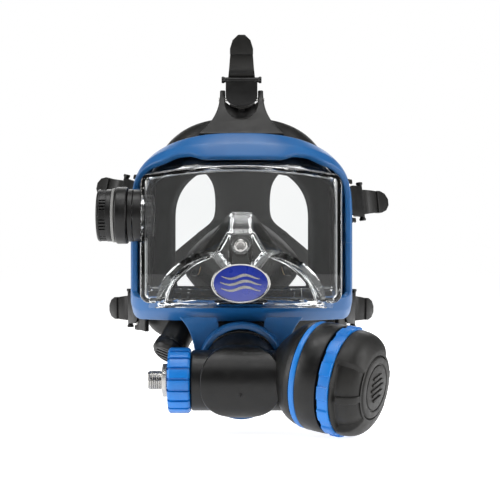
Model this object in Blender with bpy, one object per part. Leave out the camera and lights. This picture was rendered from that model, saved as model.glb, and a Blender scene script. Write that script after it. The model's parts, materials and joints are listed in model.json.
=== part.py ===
"""Full-face diving mask with a demand regulator, as separate sub-parts.

All sizes below are millimetres and become metres in finish(). The wearer looks
along -Y, +Z is up and the origin is the middle of the face seal.
"""

import bmesh
import bpy
from math import cos, pi, radians, sin, sqrt, tau
from mathutils import Matrix, Vector

MM = 0.001
GAP = 0.3
FINENESS, COARSEST = 0.5, 12  # share of the steps asked for round a turned piece, and the fewest
SLIVERS = ("visor_lens", "valve_barrel")  # shapes on which the EXACT solver leaves open edges

# Visor frame: front inner edge, rear outer edge, and how far back each lies.
INNER = {"half": 83.0, "top": 52.0, "spring": 2.0, "bottom": -53.0, "radius": 14.0, "square": 5.0}
OUTER = {"half": 84.0, "top": 71.0, "spring": 17.0, "bottom": -70.0, "radius": 18.0, "square": 2.6}
INNER_Y, OUTER_Y, SIDE_SWEEP, REAR_SWEEP = -62.0, -48.0, 30.0, 36.0
FRAME_THICK = 4.5
TOP_STEPS, SIDE_STEPS, CORNER_STEPS, BOTTOM_STEPS = 20, 4, 3, 6
SPLIT_Z = -11.0

# Lens: flat front panel and the pocket for nose and mouth.
PANEL = {"half": 73.0, "top": 45.0, "corner": 39.0, "bottom": -55.0, "r_top": 7.0, "r_low": 7.0}
PANEL_Y, LENS_WALL = -75.0, 3.0
NOSE_KNOB = Vector((0.0, -99.0, -13.5))

# Ambient breathing valve, on an axis along X through the visor's side wall.
ABV = Vector((0.0, -54.0, 9.0))

# Exhaust valve, under the skirt on the wearer's right.
EXHAUST_DIR = Vector((-0.42, -0.5, -0.76)).normalized()
EXHAUST_AT = Vector((-52.0, -29.0, -88.0))

# Regulator: tube along X, neck to the chin, and bell with diaphragm and cover.
TUBE = Vector((0.0, -80.0, -110.0))
TUBE_R = 21.7
NECK_TILT = radians(24.0)
NECK_DIR = Vector((0.0, cos(NECK_TILT), sin(NECK_TILT)))
NECK_AT = Vector((0.0, -80.0, -110.5))
COLLAR_TILT = radians(43.0)
COLLAR_DIR = Vector((0.0, cos(COLLAR_TILT), sin(COLLAR_TILT)))
BELL_DIR = Vector((0.865, -0.48, -0.14)).normalized()
BELL_AT = Vector((50.0, -85.0, -105.0))
LEVER_PIN = Vector((38.0, -93.0, -109.0))

# Straps: thickness, half-width, and the buckles' places and directions.
STRAP_THICK, TAIL_HALF = 2.4, 9.0
BUCKLES = {
    "top": {"at": (0.0, -14.0, 99.5), "out": (0.0, -0.05, 1.0), "front": (0.0, -1.0, 0.0)},
    "temple_right": {"at": (85.2, 5.5, 22.0), "out": (0.63, 0.77, 0.0), "front": (0.77, -0.63, 0.12)},
    "temple_left": {"at": (-85.2, 5.5, 25.5), "out": (-0.61, 0.76, 0.2), "front": (-0.77, -0.63, 0.12)},
    "lower_right": {"at": (81.6, 5.4, -62.0), "out": (0.46, 0.88, -0.06), "front": (0.88, -0.46, 0.0)},
    "lower_left": {"at": (-81.6, 5.4, -62.0), "out": (-0.48, 0.87, -0.04), "front": (-0.88, -0.46, 0.0)},
}

LOOKS = {
    "blue": ((0.022, 0.12, 0.36), 0.35, 0.0),
    "bright_blue": ((0.0, 0.19, 0.66), 0.35, 0.0),
    "black": ((0.018, 0.018, 0.018), 0.4, 0.0),
    "rubber": ((0.03, 0.029, 0.027), 0.6, 0.0),
    "cup": ((0.075, 0.068, 0.06), 0.7, 0.0),
    "silicone": ((0.62, 0.45, 0.3), 0.6, 0.0),
    "clear": ((0.95, 0.97, 0.98), 0.05, 0.0),
    "steel": ((0.6, 0.6, 0.6), 0.25, 1.0),
    "brass": ((0.7, 0.52, 0.25), 0.3, 1.0),
    "badge": ((0.03, 0.1, 0.38), 0.3, 0.0),
    "pale": ((0.55, 0.56, 0.56), 0.5, 0.0),
}


# ---------------------------------------------------------------- tools


def clear_scene():
    for old in list(bpy.data.objects):
        bpy.data.objects.remove(old, do_unlink=True)


def look(name):
    material = bpy.data.materials.get(name)
    if material:
        return material
    colour, roughness, metallic = LOOKS[name]
    material = bpy.data.materials.new(name)
    material.use_nodes = True
    shader = material.node_tree.nodes["Principled BSDF"]
    shader.inputs["Base Color"].default_value = (*colour, 1.0)
    shader.inputs["Roughness"].default_value = roughness
    shader.inputs["Metallic"].default_value = metallic
    return material


def pose(at, direction=(0, 0, 1), across=(1, 0, 0)):
    """A matrix with local Z along direction and local X near across, in metres."""
    z = Vector(direction).normalized()
    x = Vector(across)
    x = (x - x.dot(z) * z).normalized()
    turn = Matrix((x, z.cross(x), z)).transposed().to_4x4()
    return Matrix.Translation(Vector(at) * MM) @ turn


def group(name, matrix):
    empty = bpy.data.objects.new(name, None)
    bpy.context.collection.objects.link(empty)
    empty.matrix_world = matrix
    return empty


def finish(name, bm, material, parent=None, at=None, hidden=False):
    """Turns a bmesh in millimetres into an object in metres."""
    bmesh.ops.remove_doubles(bm, verts=bm.verts, dist=1e-4)
    bmesh.ops.recalc_face_normals(bm, faces=bm.faces)
    bm.transform(Matrix.Scale(MM, 4))
    mesh = bpy.data.meshes.new(name)
    bm.to_mesh(mesh)
    bm.free()
    mesh.materials.append(look(material))
    mesh.shade_smooth()
    mesh.set_sharp_from_angle(angle=radians(35))
    obj = bpy.data.objects.new(name, mesh)
    bpy.context.collection.objects.link(obj)
    obj.parent = parent
    if at is not None:
        obj.matrix_local = at
    if hidden:
        obj.hide_render = True
        obj.display_type = "WIRE"
    return obj


def boolean(obj, others, operation):
    """One Boolean modifier that takes all the helpers at once."""
    modifier = obj.modifiers.new(operation.lower(), "BOOLEAN")
    modifier.operation = operation
    if obj.name in SLIVERS:
        modifier.solver = "MANIFOLD"
    for other in others:
        other.hide_render = True
        other.display_type = "WIRE"
    if len(others) == 1:
        modifier.object = others[0]
        return
    helpers = bpy.data.collections.new(f"{obj.name}_{operation.lower()}")
    for other in others:
        helpers.objects.link(other)
    modifier.operand_type = "COLLECTION"
    modifier.collection = helpers


def cut(obj, *others):
    boolean(obj, others, "DIFFERENCE")


def join(obj, *others):
    boolean(obj, others, "UNION")


def turned(profile, steps=32, dip=None):
    """A solid of revolution about Z from a closed profile of (radius, z[, dip depth])."""
    bm = bmesh.new()
    if steps > COARSEST and not dip:
        steps = max(COARSEST, 4 * round(steps * FINENESS / 4))
    rings = []
    for radius, z, *depth in profile:
        if radius < 1e-6:
            rings.append([bm.verts.new((0, 0, z))])
            continue
        ring = []
        for k in range(steps):
            r = radius - (depth[0] * dip(k) if depth and dip else 0)
            ring.append(bm.verts.new((r * cos(tau * k / steps), r * sin(tau * k / steps), z)))
        rings.append(ring)
    for low, high in zip(rings, rings[1:] + rings[:1]):
        if len(low) == 1 and len(high) == 1:
            continue
        for k in range(steps):
            corners = [low[k % len(low)], low[(k + 1) % len(low)]]
            corners += [high[(k + 1) % len(high)], high[k % len(high)]]
            bm.faces.new(list(dict.fromkeys(corners)))
    return bm


def rod(radius, low, high, steps=24):
    return turned([(0, low), (radius, low), (radius, high), (0, high)], steps)


def tube(inner, outer, low, high, steps=32):
    return turned([(inner, low), (outer, low), (outer, high), (inner, high)], steps)


def loft(loops, ring=False):
    """Skins loops of points with the same count. A ring of loops closes on itself."""
    bm = bmesh.new()
    rows = [[bm.verts.new(p) for p in loop] for loop in loops]
    pairs = list(zip(rows, rows[1:])) + ([(rows[-1], rows[0])] if ring else [])
    for low, high in pairs:
        for k in range(len(low)):
            n = (k + 1) % len(low)
            bm.faces.new((low[k], low[n], high[n], high[k]))
    if not ring:
        bm.faces.new(rows[0])
        bm.faces.new(rows[-1])
    return bm


def prism(outline, low, high):
    return loft([[(x, y, low) for x, y in outline], [(x, y, high) for x, y in outline]])


def hull(points):
    bm = bmesh.new()
    for p in points:
        bm.verts.new(p)
    bmesh.ops.convex_hull(bm, input=bm.verts)
    bmesh.ops.delete(bm, geom=[v for v in bm.verts if not v.link_faces], context="VERTS")
    return bm


def box(low, high):
    xs, ys, zs = zip(low, high)
    return hull([(x, y, z) for x in xs for y in ys for z in zs])


def coil(radius, wire, turns, low, high, sides=5, per_turn=9):
    """A helical spring about Z as one closed tube."""
    loops = []
    count = int(turns * per_turn)
    for k in range(count + 1):
        angle = tau * k / per_turn
        z = low + wire + (high - low - 2 * wire) * k / count
        out = Vector((cos(angle), sin(angle), 0))
        loop = []
        for s in range(sides):
            b = tau * s / sides
            loop.append(out * (radius + wire * cos(b)) + Vector((0, 0, z + wire * sin(b))))
        loops.append(loop)
    return loft(loops)


def mirrored(points):
    return [(sx * x, y, z) for x, y, z in points for sx in (-1, 1)]


# ------------------------------------------------------- the visor's rim


def visor_outline(half, top, corner, bottom, r_top, r_low, inset=0.0):
    """(x, z) round a visor: arched top, straight sides, rounded lower corners."""
    half, top, corner, bottom = half - inset, top - inset, corner - inset, bottom + inset
    r_top, r_low = max(r_top - inset, 1.0), max(r_low - inset, 1.0)
    points = []
    side_top = corner - r_top
    for k in range(CORNER_STEPS):
        a = pi - (pi / 2) * k / CORNER_STEPS
        points.append((-half + r_top + r_top * cos(a), side_top + r_top * sin(a)))
    reach = half - r_top
    arch = TOP_STEPS - 2 * CORNER_STEPS
    for k in range(arch + 1):
        x = -reach + 2 * reach * k / arch
        points.append((x, top - (top - corner) * (x / reach) ** 2))
    for k in range(1, CORNER_STEPS + 1):
        a = (pi / 2) * (1 - k / CORNER_STEPS)
        points.append((reach + r_top * cos(a), side_top + r_top * sin(a)))
    return points + lower_path(half, side_top, bottom, r_low)


def lower_path(half, side_top, bottom, radius):
    """Down the right side, along the bottom and up the left side."""
    points = []
    side_low = bottom + radius
    side = [side_height(side_top, side_low, k) for k in range(SIDE_STEPS + 1)]
    for z in side[1:]:
        points.append((half, z))
    for k in range(1, CORNER_STEPS + 1):
        a = -(pi / 2) * k / CORNER_STEPS
        points.append((half - radius + radius * cos(a), side_low + radius * sin(a)))
    reach = half - radius
    for k in range(1, BOTTOM_STEPS):
        points.append((reach - 2 * reach * k / BOTTOM_STEPS, bottom))
    for k in range(CORNER_STEPS + 1):
        a = -(pi / 2) - (pi / 2) * k / CORNER_STEPS
        points.append((-reach + radius * cos(a), side_low + radius * sin(a)))
    for z in side[-2:0:-1]:
        points.append((-half, z))
    return points


def side_height(high, low, k):
    """Heights down a straight side, with the middle one where the frame splits."""
    middle = SIDE_STEPS / 2
    if k <= middle:
        return high + (SPLIT_Z - high) * k / middle
    return SPLIT_Z + (low - SPLIT_Z) * (k - middle) / middle


def arched_outline(half, top, spring, bottom, radius, square=2.0):
    """(x, z) with an arch on straight sides, point for point like visor_outline.

    The arch is half an ellipse, or squarer with a power above two.
    """
    points = []
    for k in range(TOP_STEPS + 1):
        a = pi * (1 - k / TOP_STEPS)
        reach = (abs(cos(a)) ** square + abs(sin(a)) ** square) ** (-1 / square)
        points.append((half * reach * cos(a), spring + (top - spring) * reach * sin(a)))
    return points + lower_path(half, spring, bottom, radius)


def rim_stations():
    """For each place round the rim: front edge, rear edge and the way in, square to both."""
    edges = []
    for (xi, zi), (xo, zo) in zip(arched_outline(**INNER), arched_outline(**OUTER)):
        front = Vector((xi, INNER_Y + SIDE_SWEEP * abs(xi / INNER["half"]) ** 2.2, zi))
        rear = Vector((xo, OUTER_Y + REAR_SWEEP * abs(xo / OUTER["half"]) ** 2.2, zo))
        edges.append((front, rear))
    stations = []
    for i, (front, rear) in enumerate(edges):
        before, after = edges[i - 1], edges[(i + 1) % len(edges)]
        tangent = after[0] + after[1] - before[0] - before[1]
        inward = (rear - front).cross(tangent).normalized()
        if inward.dot(front + rear) > 0:
            inward = -inward
        stations.append((front, rear, inward))
    return stations


def on_rim(station, along, depth):
    front, rear, inward = station
    return front + (rear - front) * along + inward * depth


RIM = rim_stations()
SPLIT_RIGHT = TOP_STEPS + SIDE_STEPS // 2
SPLIT_LEFT = len(RIM) - SIDE_STEPS // 2


def frame_section(station):
    spots = [(0, 0), (0.5, -1.2), (1, 0), (1, 8.5), (0.86, 8.5), (0.86, FRAME_THICK), (0, FRAME_THICK)]
    return [on_rim(station, along, depth) for along, depth in spots]


def shifted(station, dz):
    front, rear, inward = station
    move = Vector((0, 0, dz))
    return front + move, rear + move, inward


# ---------------------------------------------------------------- frame


def frame_parts():
    count = len(RIM)
    upper = list(range(SPLIT_LEFT, count)) + list(range(SPLIT_RIGHT + 1))
    lower = list(range(SPLIT_RIGHT, SPLIT_LEFT + 1))
    loops = {"frame_upper": [], "frame_lower": []}
    for name, indices, dz in (("frame_upper", upper, GAP), ("frame_lower", lower, -GAP)):
        for i in indices:
            at_end = i in (indices[0], indices[-1])
            loops[name].append(frame_section(shifted(RIM[i], dz) if at_end else RIM[i]))
    top = finish("frame_upper", loft(loops["frame_upper"]), "blue")
    low = finish("frame_lower", loft(loops["frame_lower"]), "blue")
    added, removed = {top: [], low: []}, {top: [scoop("left", -44.0), scoop("right", 46.0)], low: []}
    collar(added[low], removed[low])
    for side, sign in (("left", -1), ("right", 1)):
        frame_screw(top, low, added, removed, side, Vector((sign * 81.2, -7.6, SPLIT_Z)))
    for half in (top, low):
        join(half, *added[half])
        cut(half, *removed[half])


def scoop(side, x):
    """A shallow notch in the lower edge of the top band."""
    z = 50.5 - 0.0016 * x * x
    oval = [(15 * cos(tau * k / 16), 3.2 * sin(tau * k / 16)) for k in range(16)]
    bm = loft([[(x + u, y, z + v) for u, v in oval] for y in (-90, -40)])
    return finish(f"scoop_{side}", bm, "blue", hidden=True)


def collar(added, removed):
    """The chin collar that holds the regulator's neck, with its gusset to the band."""
    neck = group("neck_axis", pose(NECK_AT, NECK_DIR))
    profile = [(27, 6), (33, 6), (33, 32.4), (27, 32.4)]
    added.append(finish("collar_ring", turned(profile, 48), "blue", neck, hidden=True))
    gusset = hull(mirrored([
        (43, -57, -62), (43, -51.5, -69.5), (40, -50, -66), (31.5, -76, -79), (31.5, -58, -84),
        (30, -68, -92), (24, -79, -76), (24, -58, -62), (24, -50, -66),
    ]))
    added.append(finish("collar_web", gusset, "blue", hidden=True))
    face = group("collar_face", pose(NECK_AT + NECK_DIR * 23.4, COLLAR_DIR))
    removed.append(finish("collar_front", box((-60, -60, -60), (60, 60, 0)), "blue", face, hidden=True))
    bore = turned([(0, 0), (28.4, 0), (28.4, 32.7), (25.8, 32.7), (25.8, 60), (0, 60)], 48)
    removed.append(finish("collar_bore", bore, "blue", neck, hidden=True))


def frame_screw(top, low, added, removed, side, at):
    """A boss on each half and the screw that draws them together."""
    for half, part, down, up in ((top, "upper", GAP, 9), (low, "lower", -9, -GAP)):
        boss = box((at.x - 3.1, at.y - 5.8, at.z + down), (at.x + 3.1, at.y + 3.0, at.z + up))
        added[half].append(finish(f"screw_boss_{part}_{side}", boss, "blue", hidden=True))
    drill = group(f"screw_axis_{side}", pose(at))
    removed[top].append(finish(f"drill_upper_{side}", rod(1.7, -1, 7.5, 16), "blue", drill, hidden=True))
    removed[low].append(finish(f"drill_lower_{side}", rod(1.7, -12, 1, 16), "blue", drill, hidden=True))
    screw = turned([(0, -11.6), (2.2, -11.6), (2.5, -11.2), (2.5, -9.3), (1.45, -9.3), (1.45, 6.6), (0, 6.6)], 16)
    finish(f"frame_screw_{side}", screw, "steel", drill)


# ----------------------------------------------------------------- lens


def at_depth(outline, y):
    return [Vector((x, y, z)) for x, z in outline]


def lens():
    """A clear tray with a flange under the frame, a pocket and a valve boss."""
    def flat(inset, y):
        return at_depth(visor_outline(**PANEL, inset=inset), y)

    def rim(along, depth):
        return [on_rim(s, along, depth) for s in RIM]

    loops = [
        flat(4.5, PANEL_Y + LENS_WALL),
        flat(3.2, PANEL_Y + LENS_WALL + 1.2),
        rim(-0.25, 8.6),
        rim(0.74, 8.6),
        rim(0.74, 5.9),
        rim(-0.13, 5.9),
        flat(0.0, PANEL_Y + 2.2),
        flat(0.6, PANEL_Y + 0.6),
        flat(2.2, PANEL_Y),
    ]
    visor = finish("visor_lens", loft(loops), "clear")
    nose, mouth = pocket_solids(0.0)
    nose_in, mouth_in = pocket_solids(LENS_WALL)
    side = group("abv_axis", pose((0, ABV.y, ABV.z), (-1, 0, 0), (0, 0, 1)))
    boss = finish("abv_boss", rod(17.6, 70.5, 79.0, 40), "clear", side, hidden=True)
    bore = finish("abv_bore", rod(13.0, 60, 90, 40), "clear", side, hidden=True)
    stem = group("nose_axis", pose(NOSE_KNOB, (0, -1, 0)))
    ring = finish("knob_boss", rod(6.2, -9.0, -0.6, 24), "clear", stem, hidden=True)
    hole = finish("knob_hole", rod(2.4, -30, 5, 16), "clear", stem, hidden=True)
    join(visor, nose, mouth, boss, ring)
    cut(visor, nose_in, mouth_in, bore, hole)
    return side, stem


def pocket_solids(inset):
    """The nose wedge and the mouth dome, or their hollows when inset."""
    back = PANEL_Y + 1.0 if inset == 0 else PANEL_Y + LENS_WALL + 6.0
    nose_back, nose_low = back + 0.5, -54.0 + inset
    tag = "hollow" if inset else "shell"
    nose = hull(mirrored([
        (7.7 - inset * 0.6, nose_back, 13 - inset * 1.4), (7.7 - inset * 0.6, -78.5 + inset, 11 - inset * 1.2),
        (8.2 - inset * 0.5, -92 + inset, -2 - inset), (26.5 - inset, nose_back, -12 - inset),
        (25.6 - inset, -79.5 + inset, -13 - inset), (10.5, -99 + inset, -25),
        (21 - inset * 0.6, -100 + inset, -30 - inset), (21 - inset * 0.6, -100 + inset, nose_low),
        (28 - inset, nose_back, nose_low), (27 - inset, -86 + inset, nose_low),
    ]))
    loops = []
    for y, half, rise in ((back, 62, 43), (-80 + inset, 61, 42), (-86 + inset, 55, 36), (-95 + inset, 34, 22)):
        steps = 20
        loops.append([
            ((half - inset) * cos(pi * k / steps), y, -54.4 + inset + (rise - 2 * inset) * sin(pi * k / steps))
            for k in range(steps + 1)
        ])
    return (finish(f"nose_{tag}", nose, "clear", hidden=True),
            finish(f"mouth_{tag}", loft(loops), "clear", hidden=True))


def nose_block(stem):
    knob = turned([(0, -0.2), (3.6, -0.2), (4.65, 0.7), (4.65, 3.4), (3.9, 4.2), (0, 4.6)], 28)
    finish("nose_block_knob", knob, "steel", stem)
    shaft = turned([(0, -32.5), (2.0, -32.5), (2.0, -0.6), (0, -0.6)], 16)
    finish("nose_block_stem", shaft, "steel", stem)
    pad = hull(mirrored([(8, 33, -5.5), (8, 33, 4), (7, 41, -4.5), (7, 41, 3.5), (11, 36, -2)]))
    pad.transform(Matrix.Translation((0, NOSE_KNOB.y, NOSE_KNOB.z)))
    finish("nose_block_pad", pad, "silicone")


def badge():
    place = group("badge_axis", pose((0, -100.4, -40.0), (0, -1, 0)))
    bm = turned([(0, 0), (20.6, 0), (20.8, 0.5), (20.8, 1.6), (19.6, 2.2), (18.8, 1.5), (0, 1.5)], 40)
    bm.transform(Matrix.Diagonal((1, 13.9 / 20.8, 1, 1)))
    finish("badge_plate", bm, "badge", place)


# ---------------------------------------------------------- face pieces


def seal_y(x):
    return -6 + 26 * abs(x / 75) ** 2


def skirt():
    """Rubber skirt from the frame's bead to the turned-in seal on the face."""
    outlines = {
        "mid": arched_outline(77, 83.5, 17, -84, 22, 2.6),
        "back": arched_outline(75, 81, 17, -82, 26, 2.5),
        "open": arched_outline(52, 50, 8, -58, 22),
    }
    loops = []
    for i, station in enumerate(RIM):
        rear = station[1]

        def spot(outline, y, inset=0.0):
            x, z = outlines[outline][i]
            inward = Vector((-x, 0, 2 - z)).normalized()
            return Vector((x, y, z)) + inward * inset

        mid_y = rear.y + 18
        back_y = max(seal_y(outlines["back"][i][0]), mid_y + 6)
        open_y = seal_y(outlines["open"][i][0])
        loops.append([
            on_rim(station, 0.1, 10.4), on_rim(station, 0.78, 10.4),
            on_rim(station, 1.14, 10.8), spot("mid", mid_y), spot("back", back_y, 0), spot("back", back_y + 2, 3),
            spot("open", open_y + 1), spot("open", open_y - 1.4), spot("back", back_y - 2.5, 5),
            spot("mid", mid_y, 3.6), on_rim(station, 1.0, 13.6), on_rim(station, 0.1, 13.2),
        ])
    body = finish("face_skirt", loft(loops, ring=True), "rubber")
    neck = group("chin_axis", pose(NECK_AT, NECK_DIR))
    seat = group("exhaust_seat_axis", pose(EXHAUST_AT, EXHAUST_DIR))
    added = [finish("chin_tube", rod(23.5, 33.2, 58, 40), "rubber", neck, hidden=True),
             finish("exhaust_neck", rod(11.5, -19, 0, 32), "rubber", seat, hidden=True)]
    removed = [finish("chin_bore", rod(20.3, 20, 62, 40), "rubber", neck, hidden=True),
               finish("exhaust_bore", rod(9.0, -24, 8, 28), "rubber", seat, hidden=True)]
    for name, spec in BUCKLES.items():
        added.append(lug_solid(name, spec))
        bore = rod(1.65, -20, 20, 16)
        bore.transform(Matrix.Rotation(pi / 2, 4, "Y"))
        pin = group(f"lug_axis_{name}", buckle_pose(spec))
        removed.append(finish(f"lug_bore_{name}", bore, "rubber", pin, hidden=True))
    added.append(lug_wedge())
    join(body, *added)
    cut(body, *removed)


def lug_solid(name, spec):
    """Two ears that hold a buckle pin, on a web that grows out of the skirt.

    The top one leans back over the skirt and stands on a wedge.
    """
    place = group(f"lug_{name}", buckle_pose(spec))
    if name == "top":
        side = [(31, -39.5), (25, -31), (19, -17), (17.2, -4), (17.2, 7.5), (13.2, 7.5), (13.2, -16)]
        side += [(9.0, -22.5)]
        thick, lean = 5.0, radians(-43)
    else:
        side = [(18.5, -17), (17.4, -8.5), (17.2, -4), (17.2, 3.6), (13.4, 3.6), (13.4, -6.6)]
        thick, lean = 3.6, 0.0
    outline = side + [(-x, y) for x, y in reversed(side)]
    plate = prism(outline, -thick / 2, thick / 2)
    plate.transform(Matrix.Rotation(lean, 4, "X"))
    return finish(f"lug_{name}_solid", plate, "rubber", place, hidden=True)


def lug_wedge():
    """Fills the space between the leaning top lug and the skirt below it."""
    place = group("lug_wedge_axis", buckle_pose(BUCKLES["top"]))
    wedge = hull([(x * sx, y, z) for sx in (-1, 1) for x, y, z in (
        (29, -38.5, 1.0), (29, -38.5, -11.0), (20, -25, 1.0), (20, -25, -8.0))])
    wedge.transform(Matrix.Rotation(radians(-43), 4, "X"))
    return finish("lug_wedge_solid", wedge, "rubber", place, hidden=True)


def exhaust():
    seat = group("exhaust_axis", pose(EXHAUST_AT, EXHAUST_DIR))
    ring = turned([(7.4, -8), (8.7, -8), (8.7, 0.3), (12.4, 0.3), (12.4, 2.2), (9.4, 2.2), (7.4, 1.8)], 28)
    finish("exhaust_seat", ring, "black", seat)
    flap = turned([(0, 2.5), (9.0, 2.5), (9.2, 3.1), (2, 3.6), (0, 3.6)], 28)
    finish("exhaust_flap", flap, "silicone", seat)
    cover = finish("exhaust_cover", turned(
        [(10.4, 2.5), (12.6, 2.5), (12.8, 8.0), (10.6, 10.4), (0, 10.8), (0, 9.0), (9.6, 8.6), (10.4, 7.4)], 32),
        "black", seat)
    slots = [box((-7, -5.8 + 4.6 * k, 7.6), (7, -3.4 + 4.6 * k, 12)) for k in range(3)]
    cut(cover, *[finish(f"exhaust_slot_{k}", slot, "black", seat, hidden=True) for k, slot in enumerate(slots)])


def oral_nasal_cup():
    """The soft inner mask over nose and mouth, with its check valves."""
    def outline(y, half, top, bottom, inset):
        steps = 28
        middle, rise = (top + bottom) / 2, (top - bottom) / 2 - inset
        points = []
        for k in range(steps):
            a = tau * k / steps
            narrow = 1 - 0.45 * max(sin(a), 0.0)
            points.append(((half - inset) * cos(a) * narrow, y, middle + rise * sin(a)))
        return points

    spans = (
        (-81, 13, -14, -42),
        (-73, 21, -7, -43),
        (-58, 33, 4, -41.5),
        (-44, 39, 7, -48.5),
        (-14, 45, 9, -58),
    )
    outer = [outline(y, h, t, b, 0) for y, h, t, b in spans]
    inner = [outline(y + (2.2 if y < -80 else 0), h, t, b, 2.2) for y, h, t, b in spans]
    cup = finish("oral_nasal_cup", loft(outer + inner[::-1]), "cup")
    stem = group("cup_stem_axis", pose(NOSE_KNOB, (0, -1, 0)))
    neck = group("cup_neck_axis", pose(NECK_AT, NECK_DIR))
    removed = [finish("cup_stem_hole", rod(2.5, -40, 5, 16), "cup", stem, hidden=True),
               finish("cup_port", rod(18.0, 30, 72, 28), "cup", neck, hidden=True)]
    for side, sign in (("left", -1), ("right", 1)):
        valve = group(f"check_axis_{side}", pose((sign * 34.6, -52, -28), (sign * 0.93, -0.33, 0.12)))
        removed.append(finish(f"check_bore_{side}", rod(8.0, -8, 8, 24), "cup", valve, hidden=True))
        seat = turned([(6.0, -2.4), (7.6, -2.4), (7.6, 2.6), (9.4, 2.6), (9.4, 3.8), (6.0, 3.8)], 28)
        finish(f"check_valve_seat_{side}", seat, "black", valve)
        flap = turned([(0, -3.5), (7.0, -3.3), (7.0, -2.7), (0, -2.7)], 24)
        finish(f"check_valve_flap_{side}", flap, "silicone", valve)
    cut(cup, *removed)


# ------------------------------------------------- ambient breathing valve


def ambient_valve(side):
    """Built about its own axis: local Z points away from the visor."""
    base = turned([(9.5, 64.4), (12.6, 64.4), (12.6, 79.3), (19.4, 79.3), (19.4, 83.0),
                   (12.0, 83.0), (12.0, 84.6), (9.5, 84.6)], 40)
    finish("abv_base", base, "black", side)
    nut = turned([(13.0, 64.6), (15.6, 64.6), (15.6, 69.4), (13.0, 69.4)], 36)
    finish("abv_inner_nut", nut, "black", side)
    ring = turned([(15.6, 83.3), (20.0, 83.3), (21.0, 84.3), (21.0, 91.4), (20.0, 92.5), (15.6, 92.5)], 48)
    finish("abv_housing_ring", ring, "black", side)
    finish("abv_gasket", tube(15.6, 19.9, 92.8, 94.8, 48), "pale", side)
    cage = finish("abv_cage", turned(
        [(16.0, 95.1), (19.3, 95.1), (19.3, 105.4), (18.0, 107.0), (0, 107.0), (0, 105.0), (16.0, 105.0)], 48),
        "black", side)
    windows = []
    for k in range(8):
        window = box((-3.6, 14, 97.2), (3.6, 22, 104.0))
        window.transform(Matrix.Rotation(tau * k / 8, 4, "Z"))
        windows.append(finish(f"abv_window_{k}", window, "black", side, hidden=True))
    cut(cage, *windows)
    stem = finish("abv_stem", rod(2.2, 99.0, 105.4, 16), "black", side, hidden=True)
    join(cage, stem)
    disc = turned([(0, 85.6), (11.4, 85.6), (12.0, 86.2), (12.0, 87.6), (3.6, 88.4), (3.6, 90), (0, 90)], 32)
    finish("abv_valve_disc", disc, "silicone", side)
    finish("abv_spring", coil(5.2, 0.5, 3.5, 88.8, 104.7), "steel", side)


# -------------------------------------------------------------- regulator


def regulator():
    along = group("tube_axis", pose(TUBE, (1, 0, 0), (0, 0, 1)))
    neck = group("regulator_neck_axis", pose(NECK_AT, NECK_DIR))
    bell = group("bell_axis", pose(BELL_AT, BELL_DIR))
    body = finish("regulator_body", turned(
        [(0, -50), (17.2, -50), (17.2, -35.4), (20.4, -35.4), (TUBE_R, -34), (TUBE_R, 34), (0, 34)], 48),
        "black", along)
    spigot = [(0, 52.0), (20.0, 52.0), (20.0, 32.2), (27.3, 32.2), (27.3, 3.0), (0, 3.0)]
    flare = [(0, -22), (20.5, -22), (25, -17), (33.5, -10), (36.6, -4), (37.6, 1.3), (36.2, 1.3),
             (36.2, 6.3), (38.6, 6.3), (39.0, 7.2), (39.0, 16.4), (38.2, 17.4), (0, 17.4)]
    join(body, finish("body_neck", turned(spigot, 48), "black", neck, hidden=True),
         finish("body_barrel", barrel(), "black", hidden=True),
         finish("body_bell", turned(flare, 56), "black", bell, hidden=True))
    cavity = [(0, -9), (20, -9), (30, -4), (33.2, 0), (33.2, 30), (0, 30)]
    bore = [(0, -60), (7.5, -60), (7.5, -22), (16.5, -22), (16.5, 44), (0, 44)]
    throat = [(0, -4), (21.5, -4), (21.5, 27), (17, 30), (17, 80), (0, 80)]
    groove = [(26.6, 23.0), (32, 23.0), (32, 26.0), (26.6, 26.0)]
    relief = tube(28.0, 33.8, 21.6, 42, 48)
    cut(body, finish("collar_relief", relief, "black", neck, hidden=True),
        finish("bell_cavity", turned(cavity, 48), "black", bell, hidden=True),
        finish("tube_cavity", turned(bore, 36), "black", along, hidden=True),
        finish("neck_bore", turned(throat, 40), "black", neck, hidden=True),
        finish("o_ring_groove", turned(groove, 40), "black", neck, hidden=True))
    o_ring = turned([(27.45 + 0.75 * cos(tau * k / 8), 24.5 + 1.1 * sin(tau * k / 8)) for k in range(8)], 40)
    finish("neck_o_ring", o_ring, "rubber", neck)
    finish("chin_clamp", tube(23.8, 25.4, 33.6, 37.6, 40), "steel", neck)
    inlet(along)
    demand_valve(along)
    bell_parts(bell)


def barrel():
    """The swelling where the neck meets the tube: a fat cylinder with a round outline."""
    radius, wide, high, steps = 26.9, 28.7, 26.3, 48
    loops = []
    for scale, back in ((0.15, 0.0), (0.45, 0.0), (0.7, 0.0), (0.88, 0.0), (0.96, 0.3), (1.0, 1.8), (1.0, 20.0)):
        loop = []
        for k in range(steps):
            a = tau * (k + 0.5) / steps
            reach = (abs(cos(a)) ** 2.4 + abs(sin(a)) ** 2.4) ** (-1 / 2.4)
            x, z = wide * scale * reach * cos(a), high * scale * reach * sin(a)
            y = TUBE.y - sqrt(radius ** 2 - z * z) + back
            loop.append((x, min(y, TUBE.y + 12.0), TUBE.z + z))
        loops.append(loop)
    return loft(loops)


def one_in(count):
    """A dip for turned(): 1 at every count-th step, 0 between."""
    def dip(k):
        return 1 if k % count == 0 else 0

    return dip


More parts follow.
